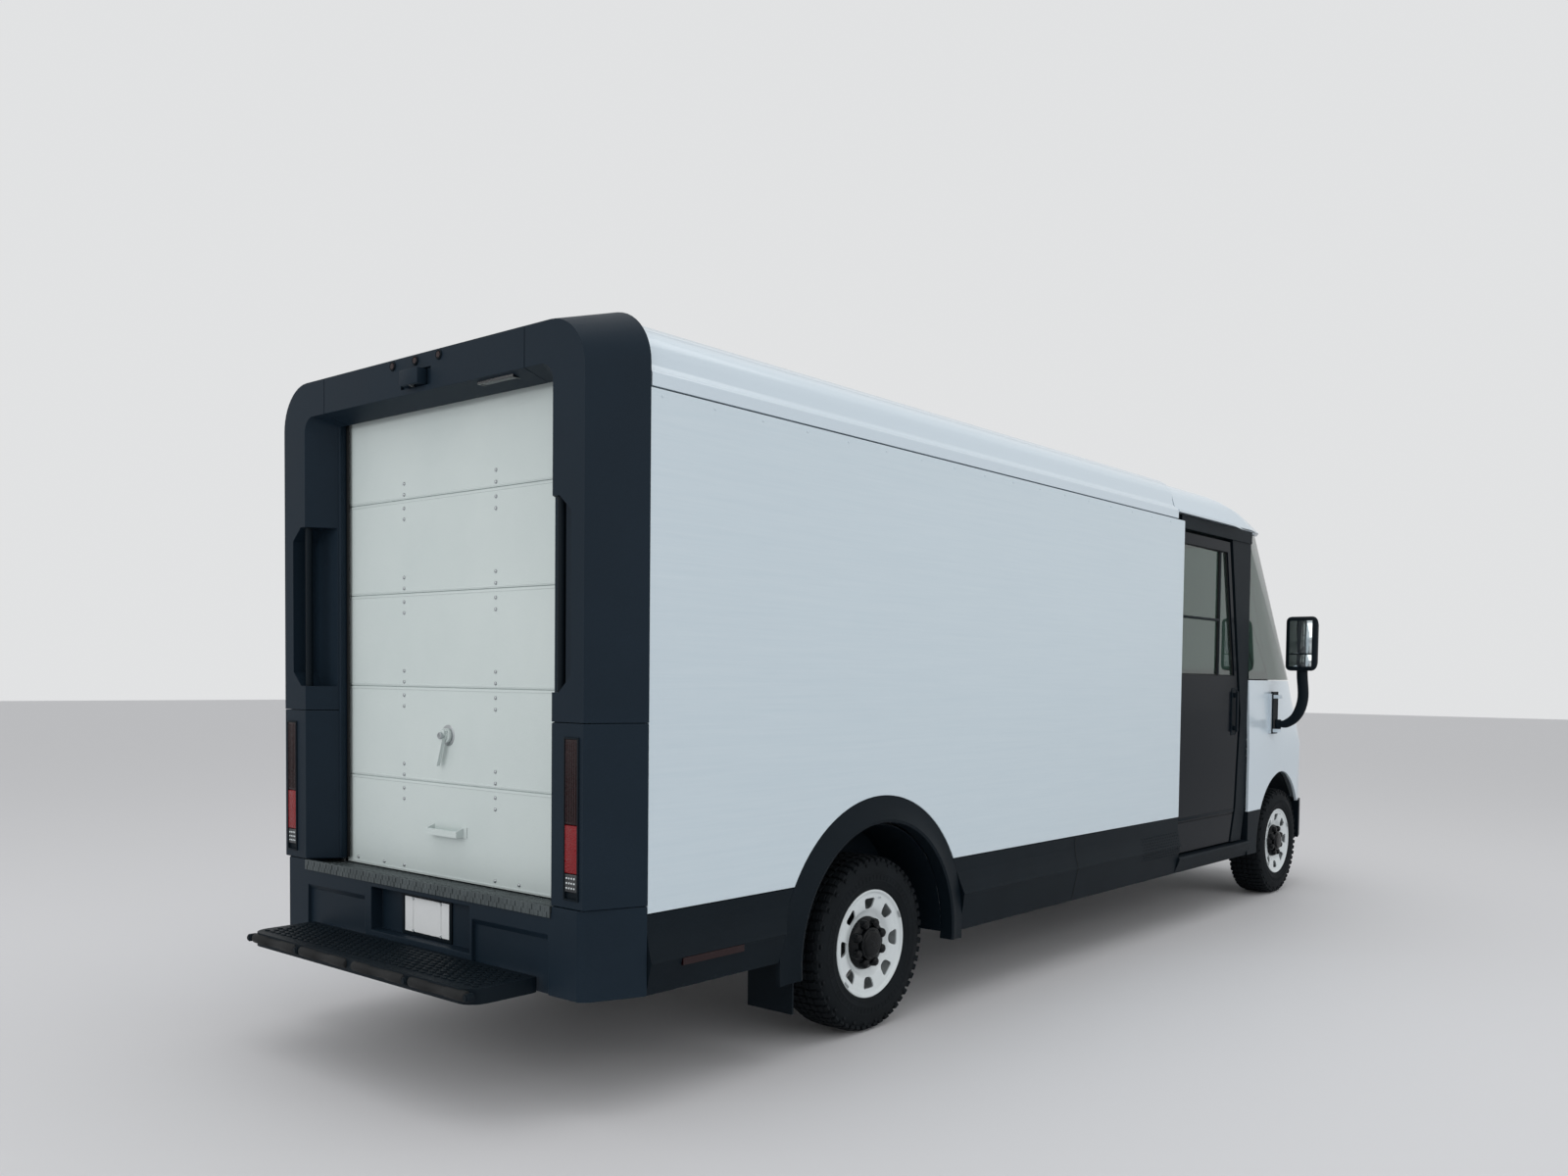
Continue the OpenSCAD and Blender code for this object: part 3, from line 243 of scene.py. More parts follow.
def complete(piece, material, body, slot, *stands_for, smooth=35):
    """Gives a finished piece its place, shading, material and body; the slot argument is not used."""
    only(piece)
    bpy.ops.object.transform_apply(location=True, rotation=True, scale=True)
    bpy.ops.object.shade_smooth_by_angle(angle=math.radians(smooth))
    piece.data.materials.clear()
    piece.data.materials.append(material)
    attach(piece, body)
    if stands_for:
        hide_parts(*stands_for)


deck_low, deck_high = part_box("cargo_floor")
deck_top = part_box("sill_plate")[0].z + 0.022
deck_rib = block(
    "deck_rib", (deck_low.x + 0.03, -0.006, deck_top - 0.001),
    (deck_high.x - 0.02, 0.006, deck_top + 0.0015), 0.001
)
deck_ribs = unite("deck_ribs", repeat(deck_rib, [(0, y * 0.075, 0) for y in range(-8, 9)], level))
complete(deck_ribs, mill_aluminium, "truck_body", "deck_aluminium")

zinc_steel, shader, place = start_material("zinc_plated_steel", "#aeb3b5", 0.35, 1.0)
spangle = add_node(zinc_steel, "ShaderNodeTexVoronoi", {"Vector": place, "Scale": 90.0})
tone = add_node(zinc_steel, "ShaderNodeMapRange", {
    "Value": spangle.outputs["Color"], "To Min": 0.28, "To Max": 0.45
})
finish_surface(zinc_steel, shader, roughness=tone.outputs["Result"])
dress(zinc_steel, "door_tracks", "counterbalance_shaft", "door_rollers", round_mm=0.8)

# ---- Lining and bulkhead ---------------------------------------------------------------
# Pre-painted steel sheet, light grey, riveted to the body's posts. Flat, with a faint
# waviness from its fixings.
lining_paint, shader, place = start_material("pre_painted_steel", "#b6bbba", 0.45)
wave = add_node(lining_paint, "ShaderNodeTexNoise", {"Vector": place, "Scale": 2.5, "Detail": 2.0})
finish_surface(lining_paint, shader, height=wave.outputs["Fac"], depth=0.01, strength=0.3)
dress(lining_paint, "inner_walls", "bulkhead", "bulkhead_door", round_mm=2)

# ---- Side panels and fenders -----------------------------------------------------------
# Glass-fibre composite sheet with a white gelcoat, rolled on a flat bed: a cool white
# satin with faint drawn streaks along the truck and a slow ripple that bends reflections.
gelcoat, shader, place = start_material(
    "white_gelcoat", "#c6d2da", 0.34, Coat_Weight=0.25, Coat_Roughness=0.2
)
drawn = add_node(gelcoat, "ShaderNodeMapping", {"Vector": place, "Scale": (1.2, 40.0, 40.0)})
streak = add_node(gelcoat, "ShaderNodeTexNoise", {
    "Vector": drawn.outputs["Vector"], "Scale": 2.0, "Detail": 8.0, "Roughness": 0.65
})
ripple = add_node(gelcoat, "ShaderNodeTexNoise", {"Vector": place, "Scale": 1.3, "Detail": 1.0})
tint = add_node(
    gelcoat, "ShaderNodeMix", {0: streak.outputs["Fac"], 6: linear("#bccbd4"), 7: linear("#c9d5dc")},
    data_type="RGBA"
)
gloss = add_node(gelcoat, "ShaderNodeMapRange", {
    "Value": streak.outputs["Fac"], "To Min": 0.26, "To Max": 0.44
})
relief = add_node(
    gelcoat, "ShaderNodeMath", {0: streak.outputs["Fac"], 1: 0.05, 2: ripple.outputs["Fac"]},
    operation="MULTIPLY_ADD"
)
finish_surface(
    gelcoat, shader, tint.outputs[2], gloss.outputs["Result"], relief.outputs["Value"], 0.012, 0.5
)
dress(gelcoat, "side_panel_left", "side_panel_right", round_mm=3)


def turned(name, profile, steps, closed=False):
    """Spins a profile of (radius, along) points round the y axis, as on a lathe."""
    piece = begin(name, "plane", size=0.01)
    bpy.ops.object.mode_set(mode="EDIT")
    bpy.ops.mesh.select_mode(type="VERT")
    bpy.ops.mesh.select_all(action="SELECT")
    bpy.ops.mesh.merge(type="CENTER")
    points = profile + profile[:1] if closed else profile
    bpy.ops.transform.translate(value=(points[0][0], points[0][1], 0))
    for (radius, along), (next_radius, next_along) in zip(points, points[1:]):
        step = {"value": (next_radius - radius, next_along - along, 0)}
        bpy.ops.mesh.extrude_vertices_move(TRANSFORM_OT_translate=step)
    bpy.ops.mesh.select_all(action="SELECT")
    bpy.ops.mesh.spin(steps=steps, angle=2 * math.pi, center=(0, 0, 0), axis=(0, 1, 0))
    bpy.ops.mesh.select_all(action="SELECT")
    bpy.ops.mesh.remove_doubles(threshold=0.00001)
    bpy.ops.mesh.normals_make_consistent(inside=False)
    leave()
    return piece


to_rear = (0, 0, math.pi / 2)

# Pan-head screws hold the panels to the roof rail, painted over with the panel.
panel_low, panel_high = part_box("side_panel_right")
pan_head = turned(
    "pan_head",
    [(0, 0.0028), (0.003, 0.0026), (0.0052, 0.0016), (0.006, 0.0), (0.006, -0.002), (0, -0.002)], 12
)
panel_face, screw_spacing = 1.0195, 0.245
rail_screws = repeat(pan_head, [
    (
        (panel_low.x + 0.05 + screw_spacing * i, side * panel_face, panel_high.z - 0.022),
        (0, 0, 0 if side > 0 else math.pi)
    )
    for i in range(17) for side in (-1, 1)
])
complete(unite("rail_screws", rail_screws), gelcoat, "truck_body", "body_white")

# ---- Roof -----------------------------------------------------------------------------
# Pressed aluminium in baked white enamel, rolled into a rail, a ledge and a cove.
# Smoother than the sides, with a fine orange peel from the spray gun.
roof_enamel, shader, place = start_material(
    "baked_white_enamel", "#c4d1da", 0.28, Coat_Weight=0.5, Coat_Roughness=0.1
)
peel = add_node(roof_enamel, "ShaderNodeTexNoise", {"Vector": place, "Scale": 160.0, "Detail": 2.0})
finish_surface(roof_enamel, shader, height=peel.outputs["Fac"], depth=0.0005, strength=0.4)
dress(roof_enamel, "cargo_roof", "cab_roof", "fenders", round_mm=2, smooth=40)

# ---- Portal, lamp pillars and bumper ---------------------------------------------------
# Injection-moulded TPO, charcoal with a blue cast, moulded in colour and unpainted. A
# fine leather grain makes it satin; it clouds slightly where it has been wiped.
moulded_tpo, shader, place = start_material(
    "moulded_charcoal_tpo", "#162129", 0.5, Specular_IOR_Level=0.1
)
wiped = add_node(moulded_tpo, "ShaderNodeTexNoise", {"Vector": place, "Scale": 3.0, "Detail": 5.0})
shade = add_node(
    moulded_tpo, "ShaderNodeMix", {0: wiped.outputs["Fac"], 6: linear("#131f29"), 7: linear("#1a2732")},
    data_type="RGBA"
)
grain = add_node(moulded_tpo, "ShaderNodeTexVoronoi", {"Vector": place, "Scale": 420.0})
satin = add_node(moulded_tpo, "ShaderNodeMapRange", {
    "Value": wiped.outputs["Fac"], "To Min": 0.42, "To Max": 0.55
})
finish_surface(
    moulded_tpo, shader, shade.outputs[2], satin.outputs["Result"], grain.outputs["Distance"], 0.0006, 0.5
)
dress(moulded_tpo, "rear_portal", "lamp_panels", "rear_bumper", round_mm=4, smooth=24)

bpy.context.view_layer.update()


def framed(name, low, high, edge, rim, sink, side):
    """A shallow tray: a rounded box with one face inset by rim and sunk by sink."""
    piece = block(name, low, high, edge)
    way = Vector(side)
    reach = max((v.co.dot(way) for v in piece.data.vertices))
    choose(piece, lambda middle, normal: normal.dot(way) > 0.99 and middle.dot(way) > reach - 0.0001)
    bpy.ops.mesh.inset(thickness=rim)
    bpy.ops.mesh.inset(thickness=min(rim, sink) / 3)
    bpy.ops.transform.translate(value=tuple(-way * sink))
    leave()
    return piece


smoked_lens, shader, place = start_material("smoked_polycarbonate", "#12171b", 0.2, Coat_Weight=0.4)
fluting = add_node(
    smoked_lens, "ShaderNodeTexWave", {"Vector": place, "Scale": 60.0}, bands_direction="Y"
)
finish_surface(smoked_lens, shader, height=fluting.outputs["Fac"], depth=0.001, strength=0.6)
soffit = nodes["rear_portal"].ray_cast((-3.335, -0.45, 2.0), (0, 0, 1))[1]
soffit_lamp = framed(
    "soffit_lamp", (-3.36, -0.55, soffit.z - 0.003), (-3.31, -0.35, soffit.z + 0.012), 0.002, 0.005,
    0.002, (0, 0, -1)
)
complete(soffit_lamp, smoked_lens, "truck_body", "lamp_clear")

# Return trims clip behind the portal and close the gap up to the door's edge.
door_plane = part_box("door_panels")[0].x
lintel = nodes["rear_portal"].ray_cast((door_plane - 0.034, 0, 2.0), (0, 0, 1))[1]
return_top = lintel.z - 0.002
returns = [
    block(
        "return_trim", (door_plane - 0.044, side * 0.676, 0.694),
        (door_plane - 0.0165, side * 0.690, return_top), 0.003
    )
    for side in (-1, 1)
]
returns.append(
    block(
        "return_trim", (door_plane - 0.044, -0.690, return_top - 0.006),
        (door_plane - 0.0165, 0.690, return_top + 0.010), 0.003
    )
)
complete(unite("return_trims", returns), moulded_tpo, "truck_body", "portal_plastic")

# ---- Lower cladding, front panel and step ----------------------------------------------
# Moulded polypropylene in near-black with a coarser grain than the portal's, clipped and
# screwed to the sills; the tread of the step is the same plastic over a steel frame.
moulded_pp, shader, place = start_material(
    "moulded_black_polypropylene", "#0c1419", 0.5, Specular_IOR_Level=0.08
)
haze = add_node(moulded_pp, "ShaderNodeTexNoise", {"Vector": place, "Scale": 4.0, "Detail": 4.0})
shade = add_node(
    moulded_pp, "ShaderNodeMix", {0: haze.outputs["Fac"], 6: linear("#0a1218"), 7: linear("#111b22")},
    data_type="RGBA"
)
grain = add_node(moulded_pp, "ShaderNodeTexVoronoi", {"Vector": place, "Scale": 300.0})
finish_surface(
    moulded_pp, shader, shade.outputs[2], height=grain.outputs["Distance"], depth=0.001, strength=0.5
)
dress(
    moulded_pp, "lower_cladding", "front_panel", "rear_step", "cab_frame", "dashboard", "cab_floor",
    round_mm=3, smooth=26
)

# Raised oval studs give the step its grip, in staggered rows over the whole tread.
step_low, step_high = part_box("rear_step")
stud = begin(
    "stud", "cylinder", vertices=12, radius=0.0105, depth=0.005, location=(0, 0, 0.0005),
    scale=(0.72, 1.5, 1)
)
choose(stud, lambda middle, way: way.z > 0.9)
bpy.ops.mesh.inset(thickness=0.0028)
bpy.ops.transform.translate(value=(0, 0, 0.001))
leave()
stud_places = []
for row in range(8):
    for column in range(-16, 17):
        y = column * 0.042 + (0.021 if row % 2 else 0)
        if abs(y) < step_high.y - 0.03:
            stud_places.append((step_low.x + 0.045 + row * 0.0255, y, step_high.z))
complete(unite("step_studs", repeat(stud, stud_places, level)), moulded_pp, "truck_body", "trim_black")

# Rubber rolls along the step's outer edge take the knock of a loading dock.
dock_rubber, shader, place = start_material("dock_bumper_rubber", "#080a0b", 0.68, Specular_IOR_Level=0.3)
bloom = add_node(dock_rubber, "ShaderNodeTexNoise", {"Vector": place, "Scale": 30.0, "Detail": 6.0})
shade = add_node(
    dock_rubber, "ShaderNodeMix", {0: bloom.outputs["Fac"], 6: linear("#060809"), 7: linear("#111416")},
    data_type="RGBA"
)
finish_surface(dock_rubber, shader, shade.outputs[2], height=bloom.outputs["Fac"], depth=0.0008)
roll = turned(
    "roll",
    [
        (0, -0.16), (0.010, -0.16), (0.0165, -0.156), (0.019, -0.148), (0.019, -0.05), (0.017, -0.047),
        (0.017, 0.047), (0.019, 0.05), (0.019, 0.148), (0.0165, 0.156), (0.010, 0.16), (0, 0.16)
    ],
    20
)
roll_middle = Vector((step_low.x + 0.006, 0, step_high.z - 0.024))
rolls = repeat(roll, [roll_middle + Vector((0, y, 0)) for y in (-0.53, -0.18, 0.18, 0.53)], level)
complete(unite("step_rolls", rolls), dock_rubber, "truck_body", "trim_black")

# Parking sensors sit in round bosses in the step's edge.
boss = turned(
    "boss",
    [
        (0, -0.020), (0.0085, -0.020), (0.0095, -0.019), (0.0098, -0.0165), (0.0125, -0.0165),
        (0.014, -0.015), (0.0145, -0.008), (0.0145, 0.01), (0, 0.01)
    ],
    24
)
boss_places = [(step_low.x + 0.004, y, step_high.z - 0.024) for y in (-0.703, -0.355, 0.355, 0.703)]
sensors = repeat(boss, boss_places, (0, 0, -math.pi / 2))
complete(unite("parking_sensors", sensors), moulded_pp, "truck_body", "trim_black")


def traced(name, node, spots, way, thickness):
    """A fine round line laid on a CAD node's skin, through the points where rays meet it."""
    line = bpy.data.curves.new(name, "CURVE")
    line.dimensions = "3D"
    met = []
    for spot in spots:
        hit, point = nodes[node].ray_cast(spot, way)[:2]
        if hit:
            met.append(point)
    spline = line.splines.new("POLY")
    spline.points.add(len(met) - 1)
    for knot, point in zip(spline.points, met):
        knot.co = (*point, 1)
    line.bevel_depth = thickness
    line.bevel_resolution = 1
    strip = bpy.data.objects.new(name, line)
    bpy.context.scene.collection.objects.link(strip)
    only(strip)
    bpy.ops.object.convert(target="MESH")
    return bpy.context.object


def facing(normal):
    """The turn that brings a piece's y axis onto a surface's normal."""
    return Vector((0, 1, 0)).rotation_difference(normal).to_euler()


# The cladding comes in two lengths a side; its joint and a patch of small ribs break it up.
clad_low, clad_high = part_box("lower_cladding")
joint_x = 0.5 * (clad_low.x + clad_high.x) + 0.172
joints = []
for side in (-1, 1):
    heights = [clad_low.z + 0.172 + 0.012 * i for i in range(27)]
    joints.append(
        traced(
            "joint", "lower_cladding", [(joint_x, side * 1.4, z) for z in heights], (0, -side, 0), 0.0022
        )
    )
complete(unite("cladding_joints", joints), dock_rubber, "truck_body", "trim_black")
vent_rib = block("vent_rib", (-0.0135, -0.0022, -0.0032), (0.0135, 0.0022, 0.0032), 0.0014, 1)
rib_places = []
for side in (-1, 1):
    for row in range(9):
        for column in range(17):
            x = 0.525 + column * 0.032 + (0.016 if row % 2 else 0)
            hit, point, normal = nodes["lower_cladding"].ray_cast(
                (x, side * 1.4, 0.452 + row * 0.0155), (0, -side, 0)
            )[:3]
            if hit and abs(normal.x) < 0.2:
                rib_places.append((point, facing(normal)))
complete(unite("cladding_ribs", repeat(vent_rib, rib_places)), moulded_pp, "truck_body", "trim_black")

# Grille: slats across the opening in the front bumper, over a dark backing; sensors beside it.
front_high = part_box("front_panel")[1]
slats = [
    block(
        "slat", (front_high.x - 0.052, -0.338, 0.424 + 0.0155 * i),
        (front_high.x - 0.012, 0.338, 0.430 + 0.0155 * i), 0.0022
    )
    for i in range(5)
]
slats.append(
    block("backing", (front_high.x - 0.058, -0.345, 0.414), (front_high.x - 0.050, 0.345, 0.506), 0.002)
)
slats += [
    block(
        "strut", (front_high.x - 0.050, y - 0.004, 0.421), (front_high.x - 0.018, y + 0.004, 0.499),
        0.0018
    )
    for y in (-0.17, 0, 0.17)
]
complete(unite("front_grille", slats), moulded_pp, "truck_body", "trim_black")
nose_sensors = []
for y in (-0.62, -0.42, 0.42, 0.62):
    hit, point, normal = nodes["front_panel"].ray_cast((front_high.x + 0.5, y, 0.50), (-1, 0, 0))[:3]
    if hit:
        nose_sensors.append((point, facing(normal)))
front_boss = turned(
    "front_boss",
    [
        (0, 0.0018), (0.0085, 0.0018), (0.0095, 0.001), (0.0098, -0.0005), (0.0120, -0.0005),
        (0.0130, 0.0018), (0.0142, 0.0012), (0.0145, -0.004), (0, -0.004)
    ],
    24
)
complete(unite("nose_sensors", repeat(front_boss, nose_sensors)), moulded_pp, "truck_body", "trim_black")
dress(moulded_pp, "wiper_left", "wiper_right", "grab_handles", round_mm=1.5)

# Camera: a faceted hood, narrower at its top, with a glass dome under its brow.
eye_low, eye_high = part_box("rear_camera")
brow = block("rear_camera_hood", eye_low, eye_high, 0.004, 2)
choose(brow, lambda middle, normal: normal.z > 0.99)
bpy.ops.transform.resize(value=(0.45, 0.62, 1), center_override=(eye_high.x, 0, eye_high.z))
choose(brow, lambda middle, normal: normal.z < -0.99)
bpy.ops.transform.resize(value=(0.80, 0.90, 1), center_override=(eye_high.x, 0, eye_low.z))
bpy.ops.mesh.inset(thickness=0.006)
bpy.ops.transform.translate(value=(0, 0, 0.004))
leave()
complete(brow, moulded_tpo, "truck_body", "trim_black", "rear_camera")
eye = turned(
    "eye",
    [
        (0, 0.011), (0.004, 0.0105), (0.0075, 0.0085), (0.010, 0.005), (0.0105, 0.0065), (0.0125, 0.0065),
        (0.0135, 0.005), (0.0140, -0.004), (0, -0.004)
    ],
    28
)
eye.rotation_euler = (math.radians(-62), 0, math.pi / 2)
eye.location = (eye_low.x + 0.016, 0, eye_low.z + 0.006)
complete(eye, smoked_lens, "truck_body", "lamp_clear")
marker_ring = turned(
    "marker_ring",
    [
        (0.0125, 0.0), (0.0128, 0.004), (0.0145, 0.0055), (0.0165, 0.0045), (0.0178, 0.0015),
        (0.0180, -0.001), (0.0125, -0.001)
    ],
    28, closed=True
)
portal_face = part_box("rear_portal")[0].x
marker_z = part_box("marker_lamps")[1].z - 0.011
rings = repeat(marker_ring, [(portal_face, y, marker_z) for y in (-0.146, 0, 0.146)], to_rear)
complete(unite("marker_rings", rings), moulded_pp, "truck_body", "trim_black")
dress(moulded_pp, "steering_wheel", "brake_pedal", "seat_frame", "bonnet", round_mm=1.5)

# Dash: a screen in a thin hood, and four round-cornered vents with slats.
screen_glass, shader, place = start_material("dark_screen_glass", "#0b0e11", 0.08, Coat_Weight=1.0)
finger = add_node(screen_glass, "ShaderNodeTexNoise", {"Vector": place, "Scale": 25.0, "Detail": 5.0})
film = add_node(screen_glass, "ShaderNodeMapRange", {
    "Value": finger.outputs["Fac"], "To Min": 0.05, "To Max": 0.16
})
finish_surface(screen_glass, shader, roughness=film.outputs["Result"])
dash_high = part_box("dashboard")[1]
screen_x = 2.2
screen = framed(
    "screen", (screen_x - 0.030, -0.150, dash_high.z - 0.020),
    (screen_x + 0.020, 0.150, dash_high.z + 0.170), 0.006, 0.008, 0.002, (-1, 0, 0)
)
complete(screen, screen_glass, "truck_body", "trim_black")
vent_parts = []
for y in (-0.70, -0.30, 0.22, 0.70):
    hit, spot = nodes["dashboard"].ray_cast((1.0, y, dash_high.z - 0.09), (1, 0, 0))[:2]
    if hit:
        vent_parts.append(
            framed(
                "vent", (spot.x - 0.008, y - 0.060, dash_high.z - 0.125),
                (spot.x + 0.010, y + 0.060, dash_high.z - 0.055), 0.004, 0.006, 0.006, (-1, 0, 0)
            )
        )
        for step_up in range(4):
            z = dash_high.z - 0.112 + step_up * 0.0145
            vent_parts.append(
                block(
                    "slat", (spot.x - 0.007, y - 0.052, z), (spot.x + 0.002, y + 0.052, z + 0.0035),
                    0.0012, 1
                )
            )
if vent_parts:
    complete(unite("dash_vents", vent_parts), moulded_pp, "truck_body", "trim_black")

# ---- Rear door ------------------------------------------------------------------------
# Five foam-cored steel sections in a warm grey-white stove enamel, nearly matt, with
# dust held in the faint emboss. Hinge rivets are plain steel.
door_enamel, shader, place = start_material("stove_enamelled_steel", "#c7cfce", 0.48)
dirt = add_node(door_enamel, "ShaderNodeTexNoise", {
    "Vector": place, "Scale": 2.2, "Detail": 7.0, "Roughness": 0.6
})
shade = add_node(
    door_enamel, "ShaderNodeMix", {0: dirt.outputs["Fac"], 6: linear("#bfcac9"), 7: linear("#cfd8d6")},
    data_type="RGBA"
)
emboss = add_node(door_enamel, "ShaderNodeTexNoise", {"Vector": place, "Scale": 120.0, "Detail": 3.0})
finish_surface(
    door_enamel, shader, shade.outputs[2], height=emboss.outputs["Fac"], depth=0.0008, strength=0.5
)
dress(door_enamel, "door_panels", "door_pull", round_mm=1.5)
dress(zinc_steel, "door_hinges", round_mm=0.6)
dress(door_enamel, "lock_lever", round_mm=2)

# Domed rivets fix the hinge leaves, two above and two below each seam.
door_low, door_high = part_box("door_panels")
section = (door_high.z - door_low.z + 0.003) / 5
rivet = turned(
    "rivet",
    [
        (0, 0.0045), (0.002, 0.0043), (0.0045, 0.0034), (0.0064, 0.0018), (0.0072, 0.0), (0.0072, -0.003),
        (0, -0.003)
    ],
    14
)
rivet_x = door_low.x - 0.0005
rivet_places = []
for seam in range(1, 5):
    for lift in (-0.075, -0.033, 0.019, 0.061):
        for y in (-0.291, 0.291):
            rivet_places.append((rivet_x, y, door_low.z + seam * section - 0.0015 + lift))
for y in (-0.62, -0.431, -0.291, 0.291, 0.431, 0.62):
    rivet_places.append((rivet_x, y, door_low.z + 0.024))
complete(
    unite("door_rivets", repeat(rivet, rivet_places, to_rear)), zinc_steel, "rear_door", "door_steel"
)

# A folded stiffening bead runs along each section, pressed into the sheet just off its edges.
bead = block(
    "bead", (door_low.x - 0.0016, door_low.y + 0.004, -0.0035),
    (door_low.x + 0.002, door_high.y - 0.004, 0.0035), 0.0014
)
bead_places = []
for seam in range(5):
    base = door_low.z + seam * section
    bead_places += [(0, 0, base + 0.007), (0, 0, base + section - 0.010)]
complete(unite("door_beads", repeat(bead, bead_places, level)), door_enamel, "rear_door", "door_enamel")

# Behind each seam the lower section's tongue reaches up into the one above.
tongue = block("tongue", (door_low.x + 0.006, -0.690, -0.008), (door_high.x - 0.004, 0.690, 0.008), 0.002)
tongues = repeat(tongue, [(0, 0, door_low.z + seam * section - 0.0015) for seam in range(1, 5)], level)
complete(unite("seam_tongues", tongues), door_enamel, "rear_door", "door_enamel")

# Black rubber seals close the gap between door and portal.
seal_side = block(
    "seal_side", (door_low.x - 0.0165, 0.664, door_low.z + 0.02),
    (door_low.x - 0.0120, 0.706, door_high.z - 0.03), 0.002
)
seals = repeat(seal_side, [(0, 0, 0), (0, -1.368, 0)], level)
complete(unite("door_seals", seals), dock_rubber, "truck_body", "trim_black")
foot_seal = block(
    "foot_seal", (door_low.x + 0.008, door_low.y + 0.01, door_low.z - 0.002),
    (door_high.x - 0.008, door_high.y - 0.01, door_low.z + 0.002), 0.0012
)
complete(foot_seal, dock_rubber, "rear_door", "trim_black")

# A pressed steel escutcheon with a raised lip surrounds the lock.
lock_low, lock_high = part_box("lock_lever")
lock_z = lock_high.z - 0.027
plate_disc = turned(
    "plate_disc",
    [
        (0.0185, 0.0), (0.0185, 0.005), (0.0205, 0.0062), (0.024, 0.0062), (0.026, 0.003),
        (0.036, 0.0024), (0.0385, 0.0015), (0.0395, 0.0)
    ],
    40
)
discs = repeat(plate_disc, [(door_low.x - 0.0002, 0, lock_z)], to_rear)
complete(unite("lock_escutcheon", discs), zinc_steel, "rear_door", "door_steel")
barrel = turned(
    "barrel",
    [
        (0, 0.006), (0.0016, 0.006), (0.0018, 0.0045), (0.008, 0.0045), (0.0085, 0.0062),
        (0.0115, 0.0062), (0.0125, 0.005), (0.0125, -0.01), (0, -0.01)
    ],
    28
)
barrels = repeat(barrel, [(lock_low.x - 0.0035, 0, lock_z)], to_rear)
complete(unite("lock_barrel", barrels), zinc_steel, "lock", "lock_steel")

# ---- Cab doors ------------------------------------------------------------------------
# Pressed steel sliding doors, painted charcoal and lacquered. Nearly black, with a faint
# orange peel; they hang outside the frame on rollers and close on a rubber seal.
charcoal_lacquer, shader, place = start_material(
    "lacquered_charcoal_paint", "#0a1118", 0.22, Specular_IOR_Level=0.05, Coat_Weight=0.05,
    Coat_Roughness=0.05
)
peel = add_node(charcoal_lacquer, "ShaderNodeTexNoise", {"Vector": place, "Scale": 40.0, "Detail": 2.0})
finish_surface(charcoal_lacquer, shader, height=peel.outputs["Fac"], depth=0.001, strength=0.3)
dress(charcoal_lacquer, "cab_door_left", "cab_door_right", round_mm=3)


def piped(name, node, way, thickness, reach=0.9):
    """A round strip along the outline of a CAD node's outer face, like a rubber glazing seal."""
    strip = nodes[node].copy()
    strip.data = nodes[node].data.copy()
    strip.modifiers.clear()
    strip.parent = None
    strip.matrix_world = Matrix.Identity(4)
    for key in list(strip.keys()):
        del strip[key]
    bpy.context.scene.collection.objects.link(strip)
    strip.name = name
    only(strip)
    choose(strip, lambda middle, normal: True)
    bpy.ops.mesh.remove_doubles(threshold=0.00002)
    direction = Vector(way)
    choose(strip, lambda middle, normal: normal.dot(direction) < reach)
    bpy.ops.mesh.delete(type="FACE")
    choose(strip, lambda middle, normal: True)
    bpy.ops.mesh.dissolve_limited(angle_limit=math.radians(3))
    bpy.ops.mesh.delete(type="ONLY_FACE")
    leave()
    bpy.ops.object.convert(target="CURVE")
    strip = bpy.context.object
    strip.data.bevel_depth = thickness
    strip.data.bevel_resolution = 2
    bpy.ops.object.convert(target="MESH")
    return bpy.context.object


# Rubber seals round the door windows, the divider that the sliding half closes on, and a grip.
for side, label in ((1, "left"), (-1, "right")):
    seal = piped("window_seal_" + label, "cab_door_" + label + "_glass", (0, side, 0), 0.0065)
    complete(seal, dock_rubber, "cab_door_" + label + "_body", "trim_black")
    pane_low, pane_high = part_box("cab_door_" + label + "_glass")
    outside = side * max(abs(pane_low.y), abs(pane_high.y))
    split = pane_low.x + 0.604
    rows = [
        block(
            "bar", (split - 0.011, outside - 0.009, pane_low.z + 0.004),
            (split + 0.011, outside + 0.007, pane_high.z - 0.004), 0.003
        )
    ]
    rows.append(
        block(
            "rail", (pane_low.x + 0.006, outside - 0.009, pane_low.z + 0.335),
            (split, outside + 0.004, pane_low.z + 0.349), 0.002
        )
    )
    complete(
        unite("window_divider_" + label, rows), moulded_pp, "cab_door_" + label + "_body", "trim_black"
    )
    skin_low, skin_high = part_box("cab_door_" + label)
    face_y = side * max(abs(skin_low.y), abs(skin_high.y))
    handle = [
        block(
            "grip", (skin_high.x - 0.100, face_y + side * 0.016, 1.14),
            (skin_high.x - 0.074, face_y + side * 0.029, 1.40), 0.006, 3
        ),
        block(
            "foot", (skin_high.x - 0.102, face_y - side * 0.002, 1.15),
            (skin_high.x - 0.072, face_y + side * 0.020, 1.18), 0.004
        ),
        block(
            "foot", (skin_high.x - 0.102, face_y - side * 0.002, 1.36),
            (skin_high.x - 0.072, face_y + side * 0.020, 1.39), 0.004
        ),
        framed(
            "cup", (skin_high.x - 0.128, face_y - side * 0.003, 1.12),
            (skin_high.x - 0.046, face_y + side * 0.0035, 1.42), 0.0015, 0.006, 0.002, (0, side, 0)
        ),
        block(
            "strip", (skin_low.x + 0.02, face_y - side * 0.002, skin_low.z + 0.19),
            (skin_high.x - 0.06, face_y + side * 0.004, skin_low.z + 0.206), 0.0018
        )
    ]
    complete(unite("door_grip_" + label, handle), moulded_pp, "cab_door_" + label + "_body", "trim_black")

